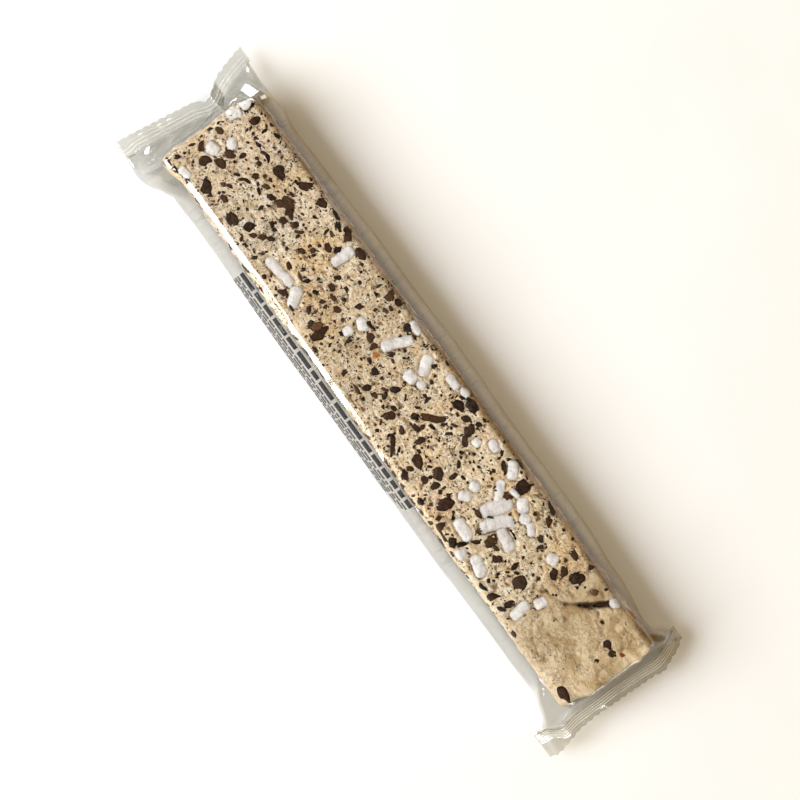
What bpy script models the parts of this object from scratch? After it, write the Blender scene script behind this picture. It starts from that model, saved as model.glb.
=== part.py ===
"""Soft nougat bar sealed in a clear flow pack, lying on its back face.

The pack is one closed bag: a film tube drawn loosely round the bar, pinched
flat at both ends into crimped seals with a zigzag cut edge. A clear sealed bag
is one solid here, out to the film's outer face, with the bar inside it.

Frame: +X along the bar, +Z up, origin at the middle of the face it rests on.
Lengths below are millimetres; MM turns them into Blender's metres.
"""

import math

import bmesh
import bpy

MM = 0.001

# ---- the bar that fills the pack -------------------------------------------
BAR_LENGTH = 200.0
BAR_WIDTH = 32.6
BAR_HEIGHT = 17.5
BAR_EDGE = 1.6  # how far in from its side the bar's top starts to roll over
TOP_SWELL = 0.35  # gentle unevenness of the top

# ---- the film tube round it ------------------------------------------------
RIDGE_Z = 6.6  # height of the widest line of the loose sides
FRONT_SIDE = 22.0  # half width on -Y, where the print runs
REAR_SIDE = 20.9  # half width on +Y
# Each side draws in just before the end seal: (x, depth, reach along X).
FRONT_WAISTS = ((-84.0, 1.3, 16.0), (90.0, 1.0, 15.0))
REAR_WAISTS = ((-82.0, 2.5, 19.0), (92.0, 3.3, 15.0))
TOP_BULGE = 1.75  # above 1, the film bows outwards between the bar and ridge
UNDER_BULGE = 1.55

# ---- the crimped end seals -------------------------------------------------
SEAL_THICKNESS = 0.6
LEFT_SEAL_X, LEFT_SEAL_Z = -103.9, 7.6  # inner border of the crimped band
RIGHT_SEAL_X, RIGHT_SEAL_Z = 103.0, 7.0
LEFT_BLANK_X, RIGHT_BLANK_X = -115.5, 111.5  # before the edge is cut
LEFT_EARS = (25.4, 20.6)  # (-Y, +Y) half widths of the flattened tube
RIGHT_EARS = (27.7, 24.0)
EAR_REACH = 9.5  # how far before the seal the side starts to flare
SEAL_DROOP = 1.6  # how much lower the ears hang than the seal's middle

# ---- the zigzag cut --------------------------------------------------------
TOOTH_PITCH = 2.4
TOOTH_DEPTH = 0.42
CUT_MARGIN = 6.0  # how far the die reaches past the film
CORNER_RADIUS = 2.6  # of the right-hand seal's two corners
CORNER_STEPS = 6
# The cut edge of each end as (y, x) corners, joined by straight cuts. The left
# one steps back where the band is pleated.
LEFT_CUT = (
    (-30.0, -111.9),
    (-25.0, -111.2),
    (-13.0, -109.4),
    (-2.0, -107.7),
    (0.8, -107.1),
    (3.0, -105.4),
    (4.6, -105.6),
    (10.0, -109.5),
    (14.0, -110.8),
    (19.8, -112.4),
    (30.0, -113.4),
)
RIGHT_CUT = (
    (-30.0, 107.8),
    (-25.4, 109.2),
    (-22.0, 108.6),
    (-16.0, 106.9),
    (-10.0, 106.5),
    (10.8, 106.9),
    (14.0, 107.6),
    (20.6, 104.9),
    (24.2, 102.6),
    (30.0, 100.6),
)

# ---- how finely the surfaces are divided -----------------------------------
BODY_STATIONS = 26
RAMP_STATIONS = 5  # just before the bar's end
FALL_STATIONS = 5  # from the bar's end down to the seal
TOP_COLUMNS = 10
SIDE_COLUMNS = 6


def smoothstep(t):
    t = min(1.0, max(0.0, t))
    return t * t * (3.0 - 2.0 * t)


def lerp(a, b, t):
    return a + (b - a) * t


def waisted(x, width, waists):
    """Half width of the tube, drawn in near each end."""
    for centre, depth, reach in waists:
        width -= depth * math.exp(-(((x - centre) / reach) ** 2))
    return width


def half_widths(x):
    """(half width on -Y, half width on +Y) of the film at station x."""
    front = waisted(x, FRONT_SIDE, FRONT_WAISTS)
    rear = waisted(x, REAR_SIDE, REAR_WAISTS)
    seal, ears = (
        (LEFT_SEAL_X, LEFT_EARS) if x < 0 else (RIGHT_SEAL_X, RIGHT_EARS)
    )
    t = smoothstep((abs(x) - (abs(seal) - EAR_REACH)) / (EAR_REACH - 2.0))
    return lerp(front, ears[0], t), lerp(rear, ears[1], t)


def seal_height(x, y):
    """Middle plane of the seal, which hangs a little towards its ears."""
    z = LEFT_SEAL_Z if x < 0 else RIGHT_SEAL_Z
    return z - SEAL_DROOP * (abs(y) / 26.0) ** 2


def pinch(x):
    """0 over the bar, rising to 1 at the seal's inner border.

    The film turns over the bar's edge in a soft shoulder, runs down straight,
    and eases into the flat seal.
    """
    seal = abs(LEFT_SEAL_X if x < 0 else RIGHT_SEAL_X)
    start = BAR_LENGTH / 2 - 1.6
    t = min(1.0, max(0.0, (abs(x) - start) / (seal - start)))
    return lerp(t, smoothstep(t), 0.75)


def side_pinch(x):
    """The same for the loose sides, which start to flatten earlier."""
    seal = abs(LEFT_SEAL_X if x < 0 else RIGHT_SEAL_X)
    return smoothstep((abs(x) - (seal - EAR_REACH)) / EAR_REACH)


def top_over_bar(x, y):
    """Height of the film where it lies on the bar."""
    across = 1.0 - (abs(y) / (BAR_WIDTH / 2)) ** 6
    along = math.sin(x / 17.0) * math.cos(x / 41.0 + y / 9.0)
    full = BAR_HEIGHT + TOP_SWELL * along * across - 0.5 * (1.0 - across)
    shut = seal_height(x, y) + SEAL_THICKNESS / 2
    return lerp(full, shut, pinch(x))


def bottom_under_bar(x, y):
    shut = seal_height(x, y) - SEAL_THICKNESS / 2
    start = BAR_LENGTH / 2 - 2.0
    seal = abs(LEFT_SEAL_X if x < 0 else RIGHT_SEAL_X)
    t = min(1.0, max(0.0, (abs(x) - start) / (seal - start)))
    return lerp(0.0, shut, t)


def columns(inner, outer):
    """Distances from the middle line: over the bar, then out to the ridge."""
    over = [inner * i / TOP_COLUMNS for i in range(TOP_COLUMNS + 1)]
    out = [
        lerp(inner, outer, 1.0 - (1.0 - i / SIDE_COLUMNS) ** 1.6)
        for i in range(1, SIDE_COLUMNS)
    ]
    return over, out


def ring(x):
    """One closed section of the bag at station x, as (y, z) points."""
    front, rear = half_widths(x)
    inner = BAR_WIDTH / 2 - BAR_EDGE * 0.25
    shut = side_pinch(x)

    def upper(sign, outer):
        over, out = columns(inner, outer)
        points = [(sign * y, top_over_bar(x, y)) for y in over]
        edge = points[-1][1]
        ridge = lerp(RIDGE_Z, seal_height(x, outer), shut)
        bow = lerp(TOP_BULGE, 1.0, shut)
        for y in out:
            q = (y - inner) / (outer - inner)
            low = ridge + SEAL_THICKNESS / 2 * shut
            points.append((sign * y, lerp(edge, low, q**bow)))
        return points, (sign * outer, ridge)

    def lower(sign, outer):
        over, out = columns(inner, outer)
        points = [(sign * y, bottom_under_bar(x, y)) for y in over]
        edge = points[-1][1]
        ridge = lerp(RIDGE_Z, seal_height(x, outer), shut)
        bow = lerp(UNDER_BULGE, 1.0, shut)
        for y in out:
            q = (y - inner) / (outer - inner)
            high = ridge - SEAL_THICKNESS / 2 * shut
            points.append((sign * y, lerp(edge, high, q**bow)))
        return points

    top_front, ridge_front = upper(-1.0, front)
    top_rear, ridge_rear = upper(1.0, rear)
    low_front, low_rear = lower(-1.0, front), lower(1.0, rear)
    # Round the section once: front ridge, top to the rear ridge, and back
    # along the underside.
    return (
        [ridge_front]
        + top_front[:0:-1]
        + top_rear
        + [ridge_rear]
        + low_rear[:0:-1]
        + low_front
    )


def stations():
    """Where the sections stand: even over the bar, close at the ends."""
    near = BAR_LENGTH / 2 - 12.0
    edge = BAR_LENGTH / 2 - 0.6
    found = [lerp(-near, near, i / BODY_STATIONS) for i in range(BODY_STATIONS + 1)]
    for sign, seal, blank in (
        (-1.0, abs(LEFT_SEAL_X), abs(LEFT_BLANK_X)),
        (1.0, abs(RIGHT_SEAL_X), abs(RIGHT_BLANK_X)),
    ):
        ramp = [lerp(near, edge, i / RAMP_STATIONS) for i in range(1, RAMP_STATIONS)]
        ramp += [lerp(edge, seal, i / FALL_STATIONS) for i in range(FALL_STATIONS)]
        ramp += [seal, lerp(seal, blank, 0.5), blank]
        found += [sign * x for x in ramp]
    return sorted(set(round(x, 4) for x in found))


def new_collection(name):
    found = bpy.data.collections.new(name)
    bpy.context.scene.collection.children.link(found)
    return found


def mesh_object(name, bm, collection):
    bmesh.ops.recalc_face_normals(bm, faces=bm.faces)
    mesh = bpy.data.meshes.new(name)
    bm.to_mesh(mesh)
    bm.free()
    obj = bpy.data.objects.new(name, mesh)
    collection.objects.link(obj)
    return obj


def film_bag(collection):
    """Lofts the sections into one closed bag."""
    bm = bmesh.new()
    rings = []
    for x in stations():
        rings.append([bm.verts.new((x * MM, y * MM, z * MM)) for y, z in ring(x)])
    count = len(rings[0])
    for a, b in zip(rings, rings[1:]):
        for i in range(count):
            j = (i + 1) % count
            bm.faces.new((a[i], a[j], b[j], b[i]))
    bm.faces.new(rings[0])
    bm.faces.new(list(reversed(rings[-1])))
    # The end faces are long and thin, so they are cut into triangles that
    # join the upper film to the lower one.
    bmesh.ops.triangulate(bm, faces=[f for f in bm.faces if len(f.verts) > 4])
    return mesh_object("nougat_pack", bm, collection)


def cut_line(corners):
    """The zigzag cut edge as (x, y) points, teeth along straight cuts."""
    points = []
    for (y0, x0), (y1, x1) in zip(corners, corners[1:]):
        length = math.hypot(x1 - x0, y1 - y0)
        teeth = max(1, round(length / TOOTH_PITCH))
        nx, ny = (y1 - y0) / length, -(x1 - x0) / length
        for i in range(teeth):
            for step, depth in ((0.0, 0.0), (0.5, TOOTH_DEPTH)):
                t = (i + step) / teeth
                points.append(
                    (
                        lerp(x0, x1, t) + nx * depth,
                        lerp(y0, y1, t) + ny * depth,
                    )
                )
    points.append((corners[-1][1], corners[-1][0]))
    return points


def end_cutter(name, corners, side, collection):
    """A prism that takes away all the film beyond one zigzag edge."""
    line = cut_line(corners)
    far = side * (max(abs(x) for x, _ in line) + CUT_MARGIN)
    outline = line + [(far, line[-1][1]), (far, line[0][1])]
    bm = bmesh.new()
    low = [bm.verts.new((x * MM, y * MM, -4.0 * MM)) for x, y in outline]
    face = bm.faces.new(low)
    made = bmesh.ops.extrude_face_region(bm, geom=[face])
    raised = [v for v in made["geom"] if isinstance(v, bmesh.types.BMVert)]
    bmesh.ops.translate(bm, verts=raised, vec=(0.0, 0.0, 30.0 * MM))
    cutter = mesh_object(name, bm, collection)
    cutter.hide_render = True
    cutter.display_type = "WIRE"
    return cutter


def corner_cutter(name, x, y, turn, collection):
    """Rounds one corner of the right-hand seal."""
    bm = bmesh.new()
    radius = CORNER_RADIUS
    steps = CORNER_STEPS
    arc = [
        (
            radius * math.cos(math.pi / 2 * i / steps),
            radius * math.sin(math.pi / 2 * i / steps),
        )
        for i in range(steps + 1)
    ]
    reach = radius + 3.0
    outline = arc + [(0.0, reach), (reach, reach), (reach, 0.0)]
    low = [bm.verts.new((a * MM, b * MM, -4.0 * MM)) for a, b in outline]
    face = bm.faces.new(low)
    made = bmesh.ops.extrude_face_region(bm, geom=[face])
    raised = [v for v in made["geom"] if isinstance(v, bmesh.types.BMVert)]
    bmesh.ops.translate(bm, verts=raised, vec=(0.0, 0.0, 30.0 * MM))
    cutter = mesh_object(name, bm, collection)
    cutter.location = (x * MM, y * MM, 0.0)
    cutter.rotation_euler = (0.0, 0.0, math.radians(turn))
    cutter.hide_render = True
    cutter.display_type = "WIRE"
    return cutter


def cut(obj, cutter):
    modifier = obj.modifiers.new(cutter.name, "BOOLEAN")
    modifier.operation = "DIFFERENCE"
    modifier.solver = "EXACT"
    modifier.object = cutter


def material():
    made = bpy.data.materials.new("nougat_seen_through_film")
    made.use_nodes = True
    shader = made.node_tree.nodes["Principled BSDF"]
    shader.inputs["Base Color"].default_value = (0.62, 0.47, 0.28, 1.0)
    shader.inputs["Roughness"].default_value = 0.3
    shader.inputs["Metallic"].default_value = 0.0
    return made


def main():
    for obj in list(bpy.data.objects):
        bpy.data.objects.remove(obj)
    parts = new_collection("nougat_bar")
    cutters = new_collection("cutters")
    pack = film_bag(parts)
    pack.data.materials.append(material())
    pack.data.shade_smooth()
    pack.data.set_sharp_from_angle(angle=math.radians(40.0))
    cut(pack, end_cutter("left_edge_die", LEFT_CUT, -1.0, cutters))
    cut(pack, end_cutter("right_edge_die", RIGHT_CUT, 1.0, cutters))
    cut(pack, corner_cutter("rear_corner_die", 101.4, 21.5, 0.0, cutters))
    cut(pack, corner_cutter("front_corner_die", 106.6, -25.2, -90.0, cutters))


main()
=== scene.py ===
"""The looks of a soft nougat bar in its clear flow pack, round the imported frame.

Millimetres everywhere, turned into Blender's metres where a mesh is made. The
frame is the row's own: +X along the bar, +Z up, the pack lying on z = 0.
"""

import math

import bpy
import numpy as np
from mathutils import Matrix, Vector


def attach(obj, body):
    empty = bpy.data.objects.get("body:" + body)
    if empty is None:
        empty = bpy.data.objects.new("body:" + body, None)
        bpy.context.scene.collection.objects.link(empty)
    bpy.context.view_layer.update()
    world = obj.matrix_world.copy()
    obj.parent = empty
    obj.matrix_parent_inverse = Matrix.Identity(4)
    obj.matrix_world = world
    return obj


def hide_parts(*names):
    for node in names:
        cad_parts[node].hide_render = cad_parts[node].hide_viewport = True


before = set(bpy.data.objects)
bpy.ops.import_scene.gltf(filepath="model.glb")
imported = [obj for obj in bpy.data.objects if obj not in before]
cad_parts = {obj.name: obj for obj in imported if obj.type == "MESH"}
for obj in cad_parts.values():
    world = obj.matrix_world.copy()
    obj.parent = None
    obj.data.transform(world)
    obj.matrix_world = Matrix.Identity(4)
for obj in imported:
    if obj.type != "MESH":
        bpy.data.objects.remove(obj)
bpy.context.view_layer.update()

MM = 0.001

# ---------------------------------------------------------------- the bar ----
X_LEFT, X_RIGHT = -99.4, 100.5
TOP_Z, BOTTOM_Z = 17.35, 0.42
TOP_RADIUS, LOW_RADIUS, END_RADIUS = 2.7, 1.5, 1.5
FRONT_Y, REAR_Y = -16.35, 16.15  # half widths of the top
REAR_LEAN, FRONT_LEAN = 0.3, 0.2  # how far the base stands out past the top

# ------------------------------------------------------------- the film ------
GIRTH = 108.0
HALF = GIRTH / 2
COLUMNS = 216  # round the tube, 0.5 mm each
SLOPE_LENGTH = 10.8  # of film from the bar's end to the crimp
CRIMP_WIDTH = 5.0
LOWEST, HIGHEST = 0.36, 17.63  # of what lies inside the film
ROUNDS = 200  # of settling, at each end of the sleeve
SEAL_Z_LEFT, SEAL_Z_RIGHT = 7.6, 7.0


# ================================================================ helpers ====
def smooth(t):
    t = np.clip(t, 0.0, 1.0)
    return t * t * (3.0 - 2.0 * t)


def lattice(ix, iy, iz, seed):
    """One repeatable number from -1 to 1 for each whole-number point."""
    h = (ix * 73856093) ^ (iy * 19349663) ^ (iz * 83492791) ^ (seed * 40503 + 977)
    h &= 0xFFFFFFFF
    h = (((h >> 16) ^ h) * 0x45D9F3B) & 0xFFFFFFFF
    h = (((h >> 16) ^ h) * 0x45D9F3B) & 0xFFFFFFFF
    h = (h >> 16) ^ h
    return (h & 0xFFFFFF) / 8388607.5 - 1.0


def noise(points, wavelength, seed):
    """Smooth value noise, about -1 to 1, over an (n, 3) array."""
    p = np.asarray(points, float) / wavelength + 1000.0
    base = np.floor(p).astype(np.int64)
    f = p - base
    f = f * f * f * (f * (f * 6 - 15) + 10)
    total = np.zeros(len(p))
    for dx in (0, 1):
        wx = f[:, 0] if dx else 1 - f[:, 0]
        for dy in (0, 1):
            wy = f[:, 1] if dy else 1 - f[:, 1]
            for dz in (0, 1):
                wz = f[:, 2] if dz else 1 - f[:, 2]
                total += (
                    wx
                    * wy
                    * wz
                    * lattice(base[:, 0] + dx, base[:, 1] + dy, base[:, 2] + dz, seed)
                )
    return total


def layered(points, wavelength, seed, layers=3, fall=0.5):
    total, amount, size = np.zeros(len(points)), 1.0, wavelength
    for i in range(layers):
        total += amount * noise(points, size, seed + 17 * i)
        amount *= fall
        size *= 0.5
    return total


def mesh_object(name, verts, faces, smooth_faces=True, attributes=None):
    """A mesh from an (n, 3) array in millimetres and an (m, 4) or (m, 3) array
    or a list of both."""
    verts = np.asarray(verts, float)
    groups = faces if isinstance(faces, (list, tuple)) else [faces]
    groups = [np.asarray(g, np.int64) for g in groups if len(g)]
    loops = np.concatenate([g.ravel() for g in groups]).astype(np.int32)
    totals = np.concatenate([np.full(len(g), g.shape[1]) for g in groups])
    starts = np.concatenate([[0], np.cumsum(totals)[:-1]]).astype(np.int32)
    mesh = bpy.data.meshes.new(name)
    mesh.vertices.add(len(verts))
    mesh.vertices.foreach_set("co", (verts * MM).astype(np.float32).ravel())
    mesh.loops.add(len(loops))
    mesh.loops.foreach_set("vertex_index", loops)
    mesh.polygons.add(len(totals))
    mesh.polygons.foreach_set("loop_start", starts)
    mesh.polygons.foreach_set("loop_total", totals.astype(np.int32))
    mesh.update(calc_edges=True)
    mesh.polygons.foreach_set("use_smooth", np.full(len(totals), smooth_faces))
    for key, values in (attributes or {}).items():
        made = mesh.attributes.new(key, "FLOAT", "POINT")
        made.data.foreach_set("value", np.asarray(values, np.float32))
    mesh.validate(clean_customdata=False)
    mesh.update()
    obj = bpy.data.objects.new(name, mesh)
    bpy.context.scene.collection.objects.link(obj)
    return obj


class Heap:
    """Collects many small closed pieces into the arrays of one mesh. Their
    points are (along, round, out of the surface) on a named face."""

    def __init__(self, *names):
        self.verts, self.faces, self.where, self.count = [], [], [], 0
        self.values = {n: [] for n in names}

    def add(self, verts, faces, where=0, **values):
        verts = np.asarray(verts, float)
        self.verts.append(verts)
        self.where.append(np.full(len(verts), where))
        self.faces += [tuple(self.count + i for i in f) for f in faces]
        for name in self.values:
            value = values.get(name, 0.0)
            self.values[name].append(np.broadcast_to(value, (len(verts),)))
        self.count += len(verts)

    def make(self, name, lay=None, smooth_faces=True):
        verts = np.concatenate(self.verts)
        if lay:
            verts = lay(verts, np.concatenate(self.where))
            verts[:, 2] = np.clip(verts[:, 2], LOWEST, HIGHEST)
        quads = [f for f in self.faces if len(f) == 4]
        tris = [f for f in self.faces if len(f) == 3]
        return mesh_object(
            name,
            verts,
            [np.array(g) for g in (quads, tris) if g],
            smooth_faces,
            attributes={k: np.concatenate(v) for k, v in self.values.items()},
        )


# ====================================================== the bar's inclusions ==
# Placed one by one on the top face: x, y, length, width, turn in degrees.
RODS = [
    (-97.6, 12.2, 4.2, 2.9, 85), (-97.0, 7.6, 5.2, 3.6, 72),
    (-90.4, 2.2, 4.6, 3.5, -35), (-92.7, -3.1, 5.0, 4.6, 20),
    (-91.6, -14.1, 4.8, 3.0, 4), (-52.2, -8.4, 11.8, 3.7, 8),
    (-45.0, 8.8, 8.4, 4.2, 90), (-43.6, -9.2, 7.4, 4.4, -55),
    (-16.0, 14.0, 5.4, 3.5, 0), (-15.4, 6.8, 10.4, 3.7, 68),
    (-25.9, 2.0, 5.0, 4.4, -25), (-26.7, -2.5, 3.7, 3.0, 80),
    (-5.3, 9.9, 7.4, 4.4, -55), (-5.3, 4.3, 5.1, 4.5, 10),
    (-1.6, 5.6, 3.4, 3.0, 30), (3.2, 13.6, 5.6, 3.7, 5),
    (7.8, 14.5, 3.9, 3.4, 20), (21.4, 8.7, 3.4, 3.0, 15),
    (25.2, 12.3, 4.6, 3.3, -12), (34.0, 12.5, 6.4, 4.1, -42),
    (31.4, 0.8, 4.2, 3.9, 20), (32.0, -3.2, 5.0, 3.7, 45),
    (36.8, 6.0, 7.6, 3.5, -48), (39.9, 9.0, 3.8, 2.1, 8),
    (40.1, 2.3, 11.0, 5.5, 74), (44.3, -0.5, 11.2, 4.6, 68),
    (44.0, 8.8, 5.4, 4.5, -30), (47.7, 7.1, 4.2, 3.8, 35),
    (51.1, 6.7, 4.6, 2.8, -30), (49.3, -0.8, 8.0, 4.6, -8),
    (39.6, -9.3, 8.2, 4.3, -3), (50.7, -12.1, 7.6, 4.6, -14),
    (44.9, -14.0, 4.6, 3.9, 70), (61.8, 6.6, 4.4, 4.0, 30),
    (70.0, -3.6, 4.9, 3.8, 78), (68.2, -9.7, 7.2, 3.9, 97),
    (82.8, 14.1, 4.2, 3.4, 58),
]

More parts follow.
